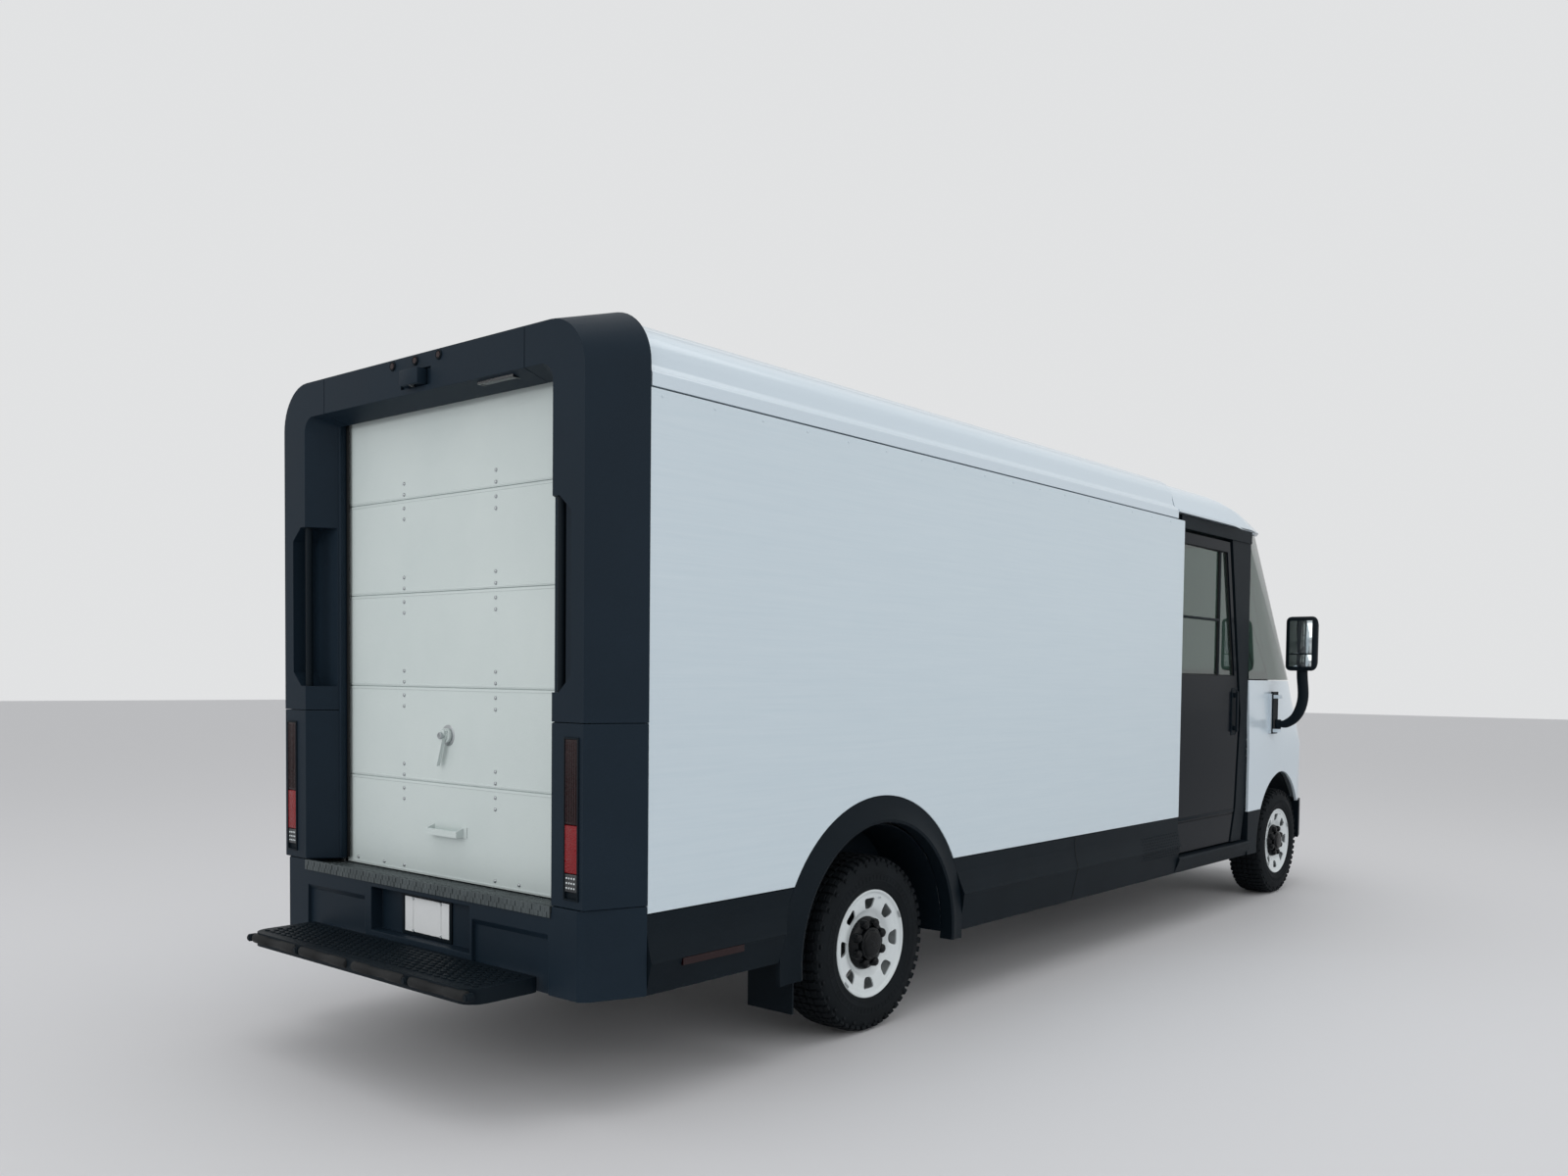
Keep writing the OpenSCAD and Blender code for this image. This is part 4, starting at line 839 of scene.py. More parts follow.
screen_seal = piped("windscreen_seal", "windscreen", (0.765, 0, 0.644), 0.008, 0.96)
complete(screen_seal, dock_rubber, "truck_body", "trim_black")

# Door mirrors: a rounded shell on a cranked arm that folds about its foot on the fender.
mirror_silver, shader, place = start_material("silvered_mirror_glass", "#c8d0d2", 0.04, 1.0)
smear = add_node(mirror_silver, "ShaderNodeTexNoise", {"Vector": place, "Scale": 14.0, "Detail": 4.0})
film = add_node(mirror_silver, "ShaderNodeMapRange", {
    "Value": smear.outputs["Fac"], "To Min": 0.02, "To Max": 0.10
})
finish_surface(mirror_silver, shader, roughness=film.outputs["Result"])
for side, label in ((1, "left"), (-1, "right")):
    head_lo, head_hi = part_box("mirror_" + label)
    skin_y = side * 1.0215
    foot_plate = framed(
        "mirror_foot_" + label, (head_lo.x + 0.012, skin_y - side * 0.016, head_lo.z - 0.012),
        (head_lo.x + 0.108, skin_y + side * 0.0008, head_lo.z + 0.272), 0.003, 0.006, 0.0015, (0, side, 0)
    )
    complete(foot_plate, moulded_pp, "truck_body", "trim_black")
    inner = head_lo.y if side > 0 else head_hi.y
    outer = head_hi.y if side > 0 else head_lo.y
    head_middle = ((head_lo.x + head_hi.x) / 2, outer - side * 0.112, head_hi.z - 0.190)
    shell = begin("shell", "cube", size=1, location=head_middle, scale=(0.118, 0.222, 0.378))
    choose(shell, lambda middle, way: way.x > 0.9)
    bpy.ops.transform.resize(value=(1, 0.74, 0.80), center_override=(0, *head_middle[1:]))
    choose(shell, lambda middle, way: True, "EDGE")
    bpy.ops.mesh.bevel(offset=0.036, segments=5, affect="EDGES")
    choose(shell, lambda middle, way: way.x < -0.995)
    bpy.ops.mesh.inset(thickness=-0.026)
    leave()
    choose(shell, lambda middle, way: way.x < -0.995 and middle.x < head_lo.x + 0.004)
    bpy.ops.mesh.inset(thickness=0.004)
    bpy.ops.transform.translate(value=(0.008, 0, 0))
    leave()
    arm_line = bpy.data.curves.new("arm", "CURVE")
    arm_line.dimensions = "3D"
    spline = arm_line.splines.new("BEZIER")
    route = [
        (head_lo.x + 0.041, inner + side * 0.016, head_lo.z + 0.055),
        (head_lo.x + 0.042, inner + side * 0.080, head_lo.z + 0.062),
        (head_lo.x + 0.048, outer - side * 0.122, head_lo.z + 0.150),
        (head_lo.x + 0.060, outer - side * 0.115, head_lo.z + 0.43)
    ]
    spline.bezier_points.add(len(route) - 1)
    for knot, spot in zip(spline.bezier_points, route):
        knot.co = spot
        knot.handle_left_type = knot.handle_right_type = "AUTO"
    spline.bezier_points[0].radius, spline.bezier_points[1].radius = 0.52, 0.8
    arm_line.bevel_depth = 0.036
    arm_line.bevel_resolution = 4
    arm_line.use_fill_caps = True
    arm = bpy.data.objects.new("arm", arm_line)
    bpy.context.scene.collection.objects.link(arm)
    only(arm)
    bpy.ops.object.convert(target="MESH")
    arm = bpy.context.object
    foot = block(
        "foot", (head_lo.x + 0.025, inner + side * 0.006, head_lo.z),
        (head_lo.x + 0.057, inner + side * 0.036, head_lo.z + 0.075), 0.008, 3
    )
    knuckle = turned(
        "knuckle",
        [
            (0, -0.03), (0.017, -0.03), (0.020, -0.027), (0.021, 0.0), (0.020, 0.027), (0.017, 0.03),
            (0, 0.03)
        ],
        24
    )
    knuckle.rotation_euler = (math.pi / 2, 0, 0)
    knuckle.location = (head_lo.x + 0.041, inner + side * 0.020, head_lo.z + 0.055)
    complete(
        unite("mirror_shell_" + label, [shell, arm, foot, knuckle]), moulded_pp,
        "mirror_" + label + "_body", "trim_black", "mirror_" + label, smooth=50
    )
    panes = [
        block("pane", (head_lo.x + 0.0035, outer - side * 0.190, head_hi.z - foot_drop),
              (head_lo.x + 0.0085, outer - side * 0.034, head_hi.z - top_drop), 0.0022)
        for foot_drop, top_drop in ((0.255, 0.036), (0.345, 0.262))
    ]
    complete(
        unite("mirror_glass_" + label, panes), mirror_silver, "mirror_" + label + "_body", "glass_green"
    )

# ---- Glass ----------------------------------------------------------------------------
# A bent laminated windscreen and toughened door panes, tinted green through their
# thickness. They are bonded in, so a faint unevenness shows in what they reflect.
tinted_glass, shader, place = start_material(
    "tinted_glass", "#6f857d", 0.02, Transmission_Weight=0.9, IOR=1.5
)
wave = add_node(tinted_glass, "ShaderNodeTexNoise", {"Vector": place, "Scale": 3.0, "Detail": 1.0})
finish_surface(tinted_glass, shader, height=wave.outputs["Fac"], depth=0.002, strength=0.1)
dress(tinted_glass, "windscreen", "cab_door_left_glass", "cab_door_right_glass", smooth=40)

# ---- Lamps ----------------------------------------------------------------------------
# Moulded acrylic lenses over diodes: near-black red above, bright red in the middle and
# smoked at the foot, in black bezels. Prisms moulded inside the lenses break up the light.
red_acrylic, shader, place = start_material(
    "red_acrylic", "#1c0306", 0.25, Specular_IOR_Level=0.2, Coat_Weight=0.08
)
prism = add_node(red_acrylic, "ShaderNodeTexVoronoi", {"Vector": place, "Scale": 250.0})
finish_surface(red_acrylic, shader, height=prism.outputs["Distance"], depth=0.002, strength=0.4)
dress(red_acrylic, "marker_lamps", round_mm=1.5)


def both(name, piece):
    """Adds the same piece mirrored to the other side of the truck."""
    modify(piece, "MIRROR", use_axis=(False, True, False), use_clip=False, use_mirror_merge=False)
    piece.name = name
    return piece


lamp_low, lamp_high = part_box("tail_lamps")
lamp_y0, lamp_y1 = lamp_high.y - 0.066, lamp_high.y
lamp_back, lamp_face = lamp_high.x, lamp_low.x
bezel = framed(
    "bezel", (lamp_face - 0.001, lamp_y0 - 0.004, lamp_low.z - 0.003),
    (lamp_back, lamp_y1 + 0.004, lamp_high.z + 0.003), 0.002, 0.004, 0.008, (-1, 0, 0)
)
complete(both("lamp_bezels", bezel), moulded_pp, "truck_body", "trim_black", "tail_lamps")
upper_lens = block(
    "upper_lens", (lamp_face + 0.0005, lamp_y0 + 0.001, lamp_low.z + 0.244),
    (lamp_back - 0.004, lamp_y1 - 0.001, lamp_high.z - 0.002), 0.003, 3
)
ribs = repeat(
    block(
        "rib", (lamp_face - 0.0006, -0.0022, lamp_low.z + 0.252),
        (lamp_face + 0.003, 0.0022, lamp_high.z - 0.010), 0.0009
    ),
    [(0, lamp_y0 + 0.011 + 0.011 * i, 0) for i in range(5)], level
)
complete(
    both("dark_lenses", unite("upper_lens", [upper_lens] + ribs)), red_acrylic, "truck_body", "lamp_red"
)

bright_red, shader, place = start_material(
    "bright_red_acrylic", "#6d050c", 0.2, Specular_IOR_Level=0.25, Coat_Weight=0.12,
    Emission_Color=linear("#c0161f"), Emission_Strength=0.06
)
prism = add_node(bright_red, "ShaderNodeTexVoronoi", {"Vector": place, "Scale": 180.0})
finish_surface(bright_red, shader, height=prism.outputs["Distance"], depth=0.003, strength=0.5)
bright_lens = block(
    "bright_lens", (lamp_face + 0.0003, lamp_y0 + 0.001, lamp_low.z + 0.086),
    (lamp_back - 0.004, lamp_y1 - 0.001, lamp_low.z + 0.242), 0.003, 3
)
band = block(
    "band", (lamp_face - 0.0008, lamp_y0 + 0.006, lamp_low.z + 0.162),
    (lamp_face + 0.003, lamp_y1 - 0.006, lamp_low.z + 0.166), 0.0009
)
complete(
    both("bright_lenses", unite("bright_lens", [bright_lens, band])), bright_red, "truck_body", "lamp_red"
)
reverse_lens = block(
    "reverse_lens", (lamp_face + 0.0008, lamp_y0 + 0.001, lamp_low.z + 0.024),
    (lamp_back - 0.004, lamp_y1 - 0.001, lamp_low.z + 0.084), 0.003, 3
)
complete(both("reverse_lenses", reverse_lens), smoked_lens, "truck_body", "lamp_clear")
clear_acrylic, shader, place = start_material("clear_acrylic", "#cfd6d8", 0.08, Coat_Weight=1.0)
flute = add_node(clear_acrylic, "ShaderNodeTexVoronoi", {"Vector": place, "Scale": 90.0})
finish_surface(clear_acrylic, shader, height=flute.outputs["Distance"], depth=0.004, strength=0.5)
dress(clear_acrylic, "headlamps", round_mm=1)

# Bright diodes behind the smoked lower lens, and clear projector lenses in the headlamps.
diode = turned(
    "diode", [(0, 0.0022), (0.0015, 0.002), (0.003, 0.0013), (0.0036, 0), (0.0036, -0.002), (0, -0.002)],
    12
)
diodes = repeat(diode, [
    (lamp_face + 0.0004, side * (lamp_y0 + 0.013 + 0.0125 * i), lamp_low.z + 0.038 + 0.016 * j)
    for side in (-1, 1) for i in range(4) for j in range(3)
], to_rear)
complete(unite("reversing_diodes", diodes), clear_acrylic, "truck_body", "lamp_clear")
head_low, head_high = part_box("headlamps")
projector = turned(
    "projector",
    [
        (0, 0.010), (0.006, 0.0092), (0.012, 0.0062), (0.0165, 0.0015), (0.0175, 0.0022),
        (0.0195, 0.0022), (0.0205, 0.0), (0.0205, -0.006), (0, -0.006)
    ],
    28
)
beam_z = (head_low.z + head_high.z) / 2
hits = []
for side in (-1, 1):
    for i in range(4):
        y = side * (head_high.y - 0.06 - 0.072 * i)
        hit, point, normal = nodes["headlamps"].ray_cast((head_high.x + 0.5, y, beam_z), (-1, 0, 0))[:3]
        if hit:
            hits.append((point, facing(normal)))
complete(unite("projectors", repeat(projector, hits)), clear_acrylic, "truck_body", "lamp_clear")

# ---- Licence plate and sill -----------------------------------------------------------
# A pressed aluminium plate in white paint, left blank, in a moulded frame with four
# screws. The sill is aluminium tread plate, bent over its edge and worn dull.
plate_paint, shader, place = start_material("painted_plate", "#e6e9ea", 0.35)
speck = add_node(plate_paint, "ShaderNodeTexNoise", {"Vector": place, "Scale": 60.0})
finish_surface(plate_paint, shader, height=speck.outputs["Fac"], depth=0.0004)
dress(plate_paint, "licence_plate", round_mm=0.8)
tread_aluminium, shader, place = start_material("worn_tread_aluminium", "#4c5355", 0.5, 0.75)
trodden = add_node(tread_aluminium, "ShaderNodeTexNoise", {"Vector": place, "Scale": 11.0, "Detail": 7.0})
shade = add_node(
    tread_aluminium, "ShaderNodeMix",
    {0: trodden.outputs["Fac"], 6: linear("#3d4446"), 7: linear("#646c6e")}, data_type="RGBA"
)
finish_surface(tread_aluminium, shader, shade.outputs[2], height=trodden.outputs["Fac"], depth=0.0005)
dress(tread_aluminium, "sill_plate", round_mm=1)

tag_low, tag_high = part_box("licence_plate")
tag_frame = framed(
    "tag_frame", (tag_low.x - 0.003, tag_low.y - 0.006, tag_low.z - 0.004),
    (tag_high.x + 0.001, tag_high.y + 0.006, tag_high.z + 0.005), 0.0015, 0.013, 0.0045, (-1, 0, 0)
)
complete(tag_frame, moulded_pp, "truck_body", "trim_black")
screw = turned(
    "screw",
    [
        (0, 0.0022), (0.0016, 0.0022), (0.0018, 0.0014), (0.0045, 0.0026), (0.0062, 0.0016), (0.0068, 0),
        (0.0068, -0.001), (0, -0.001)
    ],
    18
)
tag_middle = (tag_low.z + tag_high.z) / 2
screw_places = [
    (tag_low.x - 0.0002, y, tag_middle + z)
    for y in (-0.089, 0.089) for z in (-0.0605, 0.0605)
]
tag_screws = repeat(screw, screw_places, to_rear)
complete(unite("tag_screws", tag_screws), zinc_steel, "truck_body", "door_steel")

# The sill is five-bar tread plate: pairs of raised lozenges, turned one way and then the other.
sill_low, sill_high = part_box("sill_plate")
lozenge = block("lozenge", (-0.0095, -0.0024, -0.001), (0.0095, 0.0024, 0.0014), 0.0012, 1)
tread = []
ramp = 0.066
rise = math.atan2(0.016, ramp)
for row in range(9):
    on_lip = row >= 7
    line = row - 7 if on_lip else row
    for column in range(-34, 35):
        y = column * 0.0225 + (0.011 if line % 2 else 0)
        slant = math.pi / 4 * (1 if (line + column) % 2 else -1)
        if abs(y) >= sill_high.y - 0.014:
            continue
        x = sill_low.x + 0.012 + row * 0.0235
        if on_lip:
            tread.append(((sill_low.x, y, sill_low.z + 0.010 + line * 0.017), (0, -math.pi / 2, slant)))
        elif x < sill_low.x + ramp:
            tread.append(((x, y, sill_high.z - (x - sill_low.x) * 0.2424), (0, rise, slant)))
        else:
            tread.append(((x, y, sill_high.z - 0.0165), (0, 0, slant)))
complete(unite("sill_tread", repeat(lozenge, tread)), tread_aluminium, "truck_body", "deck_aluminium")

# ---- Seat -----------------------------------------------------------------------------
# Woven polyester over moulded foam, sewn with channels along both sides and across. The
# 1.3 mm threads of the weave are drawn 5 mm wide so that they show.
seat_cloth, shader, place = start_material("woven_seat_cloth", "#33373b", 0.85)
weave = add_node(seat_cloth, "ShaderNodeTexWave", {"Vector": place, "Scale": 200.0, "Distortion": 1.0})
finish_surface(seat_cloth, shader, height=weave.outputs["Fac"], depth=0.001)


def upholstered(name, node, channels):
    """Blows a CAD pad up as cloth, caps its swelling, and sinks sewn channels across it."""
    pad = nodes[node].copy()
    pad.data = nodes[node].data.copy()
    pad.parent = None
    pad.matrix_world = Matrix.Identity(4)
    for key in list(pad.keys()):
        del pad[key]
    bpy.context.scene.collection.objects.link(pad)
    pad.name = name
    only(pad)
    choose(pad, lambda middle, normal: True)
    bpy.ops.mesh.remove_doubles(threshold=0.00002)
    leave()
    modify(pad, "REMESH", mode="VOXEL", voxel_size=0.009)
    low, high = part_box(node)
    middle = (low + high) / 2
    for vertex in pad.data.vertices:
        vertex.co = middle + (vertex.co - middle) * 0.95
    rest = [vertex.co.copy() for vertex in pad.data.vertices]
    cloth = pad.modifiers.new("cloth", "CLOTH")
    cloth.settings.use_pressure = True
    cloth.settings.uniform_pressure_force = 4.0
    cloth.settings.effector_weights.gravity = 0.0
    for frame_number in range(1, 21):
        bpy.context.scene.frame_set(frame_number)
    only(pad)
    bpy.ops.object.modifier_apply(modifier="cloth")
    bpy.context.scene.frame_set(1)
    for vertex, start in zip(pad.data.vertices, rest):
        move = vertex.co - start
        if move.length > 0.014:
            vertex.co = start + move.normalized() * 0.014
    normals = [vertex.normal.copy() for vertex in pad.data.vertices]
    for vertex, normal in zip(pad.data.vertices, normals):
        for point, across, half in channels:
            away = abs((vertex.co - Vector(point)).dot(Vector(across)))
            if away < half:
                vertex.co -= normal * 0.009 * (1 - (away / half) ** 2)
    modify(pad, "SUBSURF", levels=1, render_levels=1)
    complete(pad, seat_cloth, "seat", "seat_fabric", node, smooth=60)


pad_low, pad_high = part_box("seat_cushion")
side_seams = [((0, (pad_low.y + pad_high.y) / 2 + side * 0.150, 0), (0, 1, 0), 0.010) for side in (-1, 1)]
upholstered(
    "sprung_cushion", "seat_cushion", side_seams + [((pad_high.x - 0.14, 0, 0), (1, 0, 0), 0.010)]
)
back_low, back_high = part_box("seat_back")
upholstered(
    "back_cushion", "seat_back",
    side_seams + [
        ((0, 0, back_high.z - 0.24), (0, 0, 1), 0.011), ((0, 0, back_low.z + 0.22), (0, 0, 1), 0.010)
    ],
)

# ---- Tyres and rims -------------------------------------------------------------------
# Carbon-black rubber tyres with an all-season block tread, on pressed and welded steel
# rims in white powder coat. Gloss black nylon covers snap over the hubs.
tyre_rubber, shader, place = start_material("tyre_rubber", "#0d1114", 0.75, Specular_IOR_Level=0.12)
dust = add_node(tyre_rubber, "ShaderNodeTexNoise", {"Vector": place, "Scale": 12.0, "Detail": 6.0})
shade = add_node(
    tyre_rubber, "ShaderNodeMix", {0: dust.outputs["Fac"], 6: linear("#0b0f12"), 7: linear("#161b1f")},
    data_type="RGBA"
)
finish_surface(tyre_rubber, shader, shade.outputs[2], height=dust.outputs["Fac"], depth=0.001)
rim_powder, shader, place = start_material("white_powder_coat", "#ccd3d5", 0.3, Coat_Weight=0.4)
peel = add_node(rim_powder, "ShaderNodeTexNoise", {"Vector": place, "Scale": 120.0})
finish_surface(rim_powder, shader, height=peel.outputs["Fac"], depth=0.0006, strength=0.5)
hub_gloss, shader, place = start_material("gloss_black_nylon", "#06090c", 0.25, Specular_IOR_Level=0.16)
scuff = add_node(hub_gloss, "ShaderNodeTexNoise", {"Vector": place, "Scale": 50.0, "Detail": 6.0})
worn = add_node(hub_gloss, "ShaderNodeMapRange", {
    "Value": scuff.outputs["Fac"], "To Min": 0.16, "To Max": 0.42
})
finish_surface(
    hub_gloss, shader, roughness=worn.outputs["Result"], height=scuff.outputs["Fac"], depth=0.0006
)


def around(piece, count, start=0.0):
    """Copies of a piece set evenly round the axle."""
    return repeat(piece, [((0, 0, 0), (0, start + 2 * math.pi * i / count, 0)) for i in range(count)])


# The carcass: bead, rim guard, bulged sidewall with moulded rings, and the ground of the tread.
side_wall = [
    (0.2225, 0.1000), (0.2290, 0.1035), (0.2330, 0.1062), (0.2350, 0.1068), (0.2365, 0.1058),
    (0.2450, 0.1085), (0.2560, 0.1106), (0.2575, 0.1118), (0.2600, 0.1120), (0.2615, 0.1112),
    (0.2850, 0.1116), (0.2862, 0.1125), (0.2890, 0.1125), (0.2902, 0.1114), (0.3080, 0.1090),
    (0.3250, 0.1042), (0.3390, 0.0975), (0.3480, 0.0880), (0.3515, 0.0740), (0.3530, 0.0560),
    (0.3530, 0.0544), (0.3520, 0.0535)
]
carcass_profile = [(r, -y) for r, y in side_wall] + [(r, y) for r, y in reversed(side_wall)]
carcass = turned(
    "carcass",
    carcass_profile + [(0.2130, 0.0900), (0.2100, 0.0700), (0.2100, -0.0700), (0.2130, -0.0900)], 96,
    closed=True
)


def tread_block(low, high, skew, lean=0.0):
    """One rubber block of the tread: a box turned to its chevron angle and tilted by its lean."""
    rubber = block("rubber", low, high, 0.0016, 1)
    middle = Vector([(a + b) / 2 for a, b in zip(low, high)])
    rubber.data.transform(
        Matrix.Translation(middle) @ Matrix.Rotation(skew, 4, "Z")
        @ Matrix.Rotation(lean, 4, "X") @ Matrix.Translation(-middle)
    )
    return rubber


tread_top, tread_foot = 0.3618, 0.349
pitch = []
for turn, shift in ((0, 0.0), (1, 0.004)):
    lugs = [
        tread_block((-0.0150, -0.017, tread_foot), (0.0010, 0.015, tread_top), 0.35),
        tread_block((0.0035, -0.014, tread_foot), (0.0165, 0.018, tread_top), -0.20),
        tread_block((-0.0155, -0.050, tread_foot), (0.0135, -0.023, tread_top - 0.0004), -0.30),
        tread_block((-0.0120, 0.023, tread_foot), (0.0160, 0.050, tread_top - 0.0004), -0.30),
        tread_block(
            (-0.0135, -0.084 - shift, tread_foot - 0.002), (0.0140, -0.057, tread_top - 0.0022), 0.12,
            0.10
        ),
        tread_block(
            (-0.0135, 0.057, tread_foot - 0.002), (0.0140, 0.084 + shift, tread_top - 0.0022), -0.12,
            -0.10
        ),
        tread_block((-0.0125, -0.101 - shift / 2, 0.3300), (0.0115, -0.083, 0.3545), 0.06, 0.42),
        tread_block((-0.0125, 0.083, 0.3300), (0.0115, 0.101 + shift / 2, 0.3545), -0.06, -0.42)
    ]
    if turn:
        lugs.append(tread_block((-0.0085, -0.1070, 0.3080), (0.0085, -0.0990, 0.3330), 0.0, 0.28))
        lugs.append(tread_block((-0.0085, 0.0990, 0.3080), (0.0085, 0.1070, 0.3330), 0.0, -0.28))
    step = unite("step", lugs)
    step.data.transform(Matrix.Rotation(2 * math.pi / 56 * turn, 4, "Y"))
    pitch.append(step)
tread = around(unite("pitch", pitch), 28)
tick = block("tick", (-0.0011, -0.1128, 0.2640), (0.0011, -0.1100, 0.2820), 0.0005, 1)
ticks = around(tick, 72)
tyre = unite("tyre", [carcass] + tread + ticks)

# The wheel: a rolled rim with a lip at each side, and a domed disc with eight hand holes.
lip = [
    (0.2085, 0.0700), (0.2115, 0.0915), (0.2195, 0.0945), (0.2222, 0.0975), (0.2222, 0.1015),
    (0.2200, 0.1040), (0.2160, 0.1046), (0.2125, 0.1025), (0.2085, 0.0930), (0.2050, 0.0720)
]
rim_profile = [(r, -y) for r, y in lip[:8]] + [
    (0.2095, -0.0990), (0.2060, -0.0966), (0.1990, -0.0955), (0.1930, -0.0958), (0.1890, -0.0945),
    (0.1740, -0.0928), (0.1480, -0.0885), (0.1380, -0.0835), (0.1300, -0.0765), (0.1180, -0.0705),
    (0.0700, -0.0700), (0.0700, -0.0630), (0.1180, -0.0635), (0.1300, -0.0695), (0.1380, -0.0765),
    (0.1480, -0.0815), (0.1740, -0.0858), (0.1890, -0.0875), (0.1950, -0.0870), (0.2000, -0.0800),
    (0.2030, -0.0600)
] + [(r, y) for r, y in reversed(lip)]
rim = turned("rim", rim_profile, 96, closed=True)
cutter = begin("cutter", "cube", size=1, location=(0, -0.090, 0.1640), scale=(0.043, 0.06, 0.046))
choose(cutter, lambda middle, way: way.z > 0.9)
bpy.ops.transform.resize(value=(1.70, 1, 1), center_override=(0, -0.090, 0.187))
choose(cutter, lambda middle, way: abs(way.y) > 0.9, "EDGE")
bpy.ops.mesh.bevel(offset=0.014, segments=5, affect="EDGES")
leave()
cutters = unite("cutters", around(cutter, 8))
modify(rim, "BOOLEAN", object=cutters, operation="DIFFERENCE", solver="EXACT")
bpy.data.objects.remove(cutters)
modify(rim, "BEVEL", width=0.0022, segments=3, limit_method="ANGLE", angle_limit=math.radians(50))
valve = turned(
    "valve",
    [
        (0, -0.078), (0.0030, -0.078), (0.0036, -0.076), (0.0036, -0.066), (0.0028, -0.065),
        (0.0028, -0.060), (0.0055, -0.056), (0.0060, -0.040), (0, -0.040)
    ],
    14
)
valve.data.transform(Matrix.Translation((0.060, -0.030, 0.1830)))
weight = block("weight", (-0.0160, -0.1068, 0.2095), (0.0160, -0.1015, 0.2185), 0.0018)
weights = repeat(weight, [((0, 0, 0), (0, 1.1, 0)), ((0, 0, 0), (0, -2.3, 0))])

# The cover over the hub: a scalloped dish, eight nut caps and a round centre cap.
dish = turned(
    "dish",
    [
        (0, -0.092), (0.060, -0.092), (0.066, -0.095), (0.070, -0.096), (0.092, -0.086), (0.0985, -0.078),
        (0.0995, -0.0695), (0, -0.0695)
    ],
    64
)
nut_cap = turned(
    "nut_cap",
    [
        (0, -0.1110), (0.0080, -0.1108), (0.0135, -0.1085), (0.0170, -0.1040), (0.0185, -0.0950),
        (0.0200, -0.0800), (0.0205, -0.0700), (0, -0.0700)
    ],
    16
)
nut_cap.data.transform(Matrix.Translation((0, 0, 0.0780)))
collar = turned(
    "collar",
    [
        (0, -0.1185), (0.0400, -0.1180), (0.0470, -0.1160), (0.0510, -0.1120), (0.0520, -0.1095),
        (0.0560, -0.1090), (0.0600, -0.1060), (0.0615, -0.0850), (0, -0.0850)
    ],
    48
)
cover = unite("cover", [dish, collar] + around(nut_cap, 8, math.pi / 8))
cover.data.transform(Matrix.Diagonal((1.10, 1, 1.10, 1)))

wheel_places = {}
for corner in ("front_left", "front_right", "rear_left", "rear_right"):
    low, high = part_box("tyre_" + corner)
    wheel_places[corner] = ((low + high) / 2, (0, 0, math.pi if corner.endswith("left") else 0))
corners = list(wheel_places)
spots = [wheel_places[corner] for corner in corners]
wheel_parts = (
    (tyre, "tread_tyre_", tyre_rubber, "tyre_rubber", "tyre_", 28),
    (unite("rim", [rim, valve]), "steel_rim_", rim_powder, "wheel_white", "rim_", 40),
    (cover, "hub_cover_", hub_gloss, "trim_black", None, 40),
    (unite("weights", weights), "balance_weights_", zinc_steel, "lock_steel", None, 35),
)
for pattern, name, material, slot, cad, smooth in wheel_parts:
    for corner, piece in zip(corners, repeat(pattern, spots)):
        piece.name = name + corner
        stands_for = [cad + corner] if cad else []
        complete(piece, material, "wheel_" + corner, slot, *stands_for, smooth=smooth)

# Half-round liners behind the rear arches keep road dirt off the wheel boxes.
liner_shape = [
    (0.130, -0.716), (0.494, -0.716), (0.494, -0.982), (0.490, -0.982), (0.490, -0.720), (0.130, -0.720)
]
liner = turned("liner", liner_shape, 96, closed=True)
choose(liner, lambda middle, normal: True)
bpy.ops.mesh.bisect(plane_co=(0, 0, -0.02), plane_no=(0, 0, -1), use_fill=True, clear_outer=True)
leave()
rear_hub = wheel_places["rear_right"][0]
liner_at = (rear_hub.x, 0, rear_hub.z)
for label, half in zip(
    ("right", "left"), repeat(liner, [(liner_at, level), (liner_at, (0, 0, math.pi))])
):
    half.name = "arch_liner_" + label
    complete(half, moulded_pp, "truck_body", "trim_black")

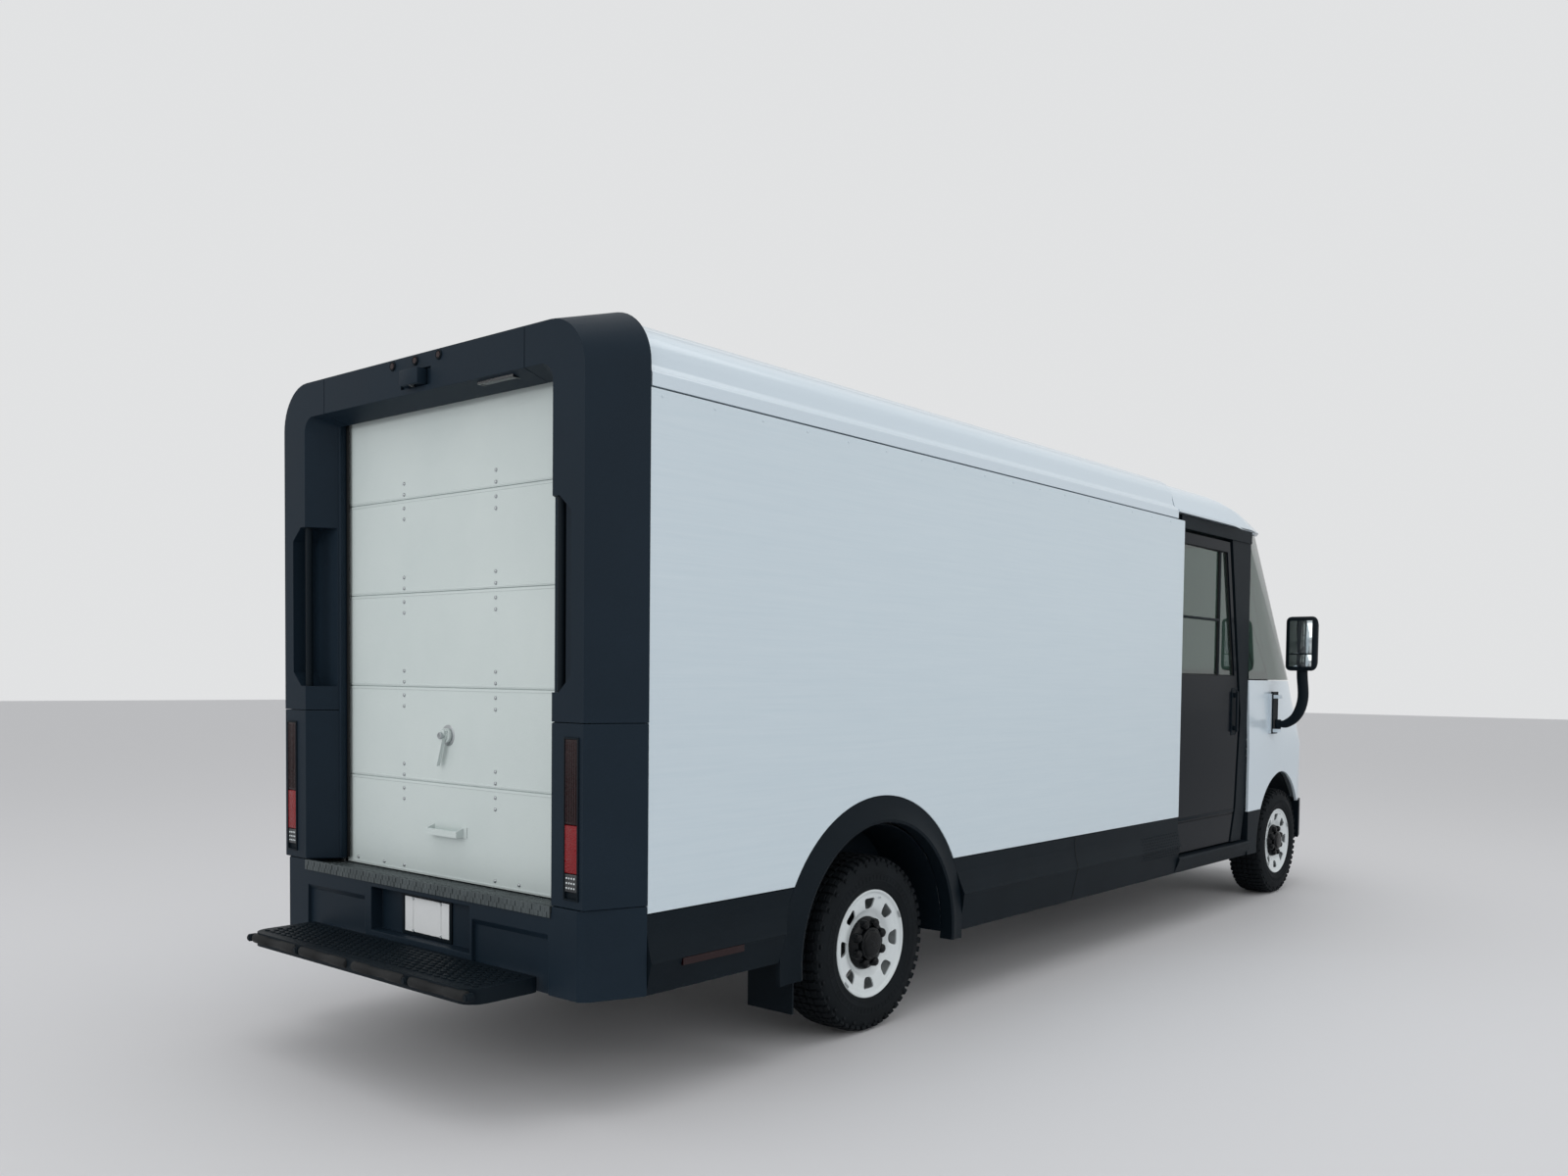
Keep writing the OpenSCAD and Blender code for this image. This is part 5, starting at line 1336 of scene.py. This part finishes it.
# ---- Studio ---------------------------------------------------------------------------
# A plain pale floor, an even pale sky and three large soft lamps.
bpy.ops.object.select_all(action="DESELECT")
bpy.ops.mesh.primitive_plane_add(size=120, location=(0, 0, 0))
floor = bpy.context.object
floor.name = "floor"
floor_paint = start_material("pale_floor", "#cbcbcd", 0.65)[0]
floor.data.materials.append(floor_paint)

world = bpy.data.worlds.new("studio")
world.use_nodes = True
world.node_tree.nodes["Background"].inputs["Color"].default_value = linear("#f1f2f3")
world.node_tree.nodes["Background"].inputs["Strength"].default_value = 0.86
bpy.context.scene.world = world


def add_lamp(name, location, target, size, power):
    data = bpy.data.lights.new(name, "AREA")
    data.shape = "RECTANGLE"
    data.size, data.size_y = size
    data.energy = power
    lamp = bpy.data.objects.new(name, data)
    bpy.context.scene.collection.objects.link(lamp)
    lamp.location = location
    direction = [t - p for t, p in zip(target, location)]
    lamp.rotation_euler = Vector(direction).to_track_quat("-Z", "Y").to_euler()


add_lamp("overhead", (-1.0, -1.0, 9.0), (0, 0, 1), (12, 7), 240)
add_lamp("right_side", (-1.0, -11.0, 5.0), (0, 0, 1.2), (12, 5), 210)
add_lamp("behind", (-12.0, 1.0, 4.5), (-2, 0, 1.2), (7, 5), 190)

# The camera stands behind the right rear corner at eye height, with a normal lens.
yaw, pitch, roll = math.radians(38.754), math.radians(-2.207), math.radians(0.723)
ahead = Vector((math.cos(yaw) * math.cos(pitch), math.sin(yaw) * math.cos(pitch), math.sin(pitch)))
level_right = Vector((math.sin(yaw), -math.cos(yaw), 0))
level_up = level_right.cross(ahead)
right = level_right * math.cos(roll) + level_up * math.sin(roll)
up = level_up * math.cos(roll) - level_right * math.sin(roll)
camera_data = bpy.data.cameras.new("camera")
camera_data.sensor_width = 36
frame_width, focal, offset_x, offset_y = 1600, 1296, -60, 142.65
camera_data.lens = camera_data.sensor_width * focal / frame_width
camera_data.shift_x = offset_x / frame_width
camera_data.shift_y = offset_y / frame_width
camera_data.clip_end = 400
camera = bpy.data.objects.new("camera", camera_data)
bpy.context.scene.collection.objects.link(camera)
turn = Matrix((right, up, -ahead)).transposed().to_4x4()
camera.matrix_world = Matrix.Translation((-6.015, -4.121, 1.448)) @ turn
bpy.context.scene.camera = camera
bpy.context.scene.view_settings.view_transform = "Standard"
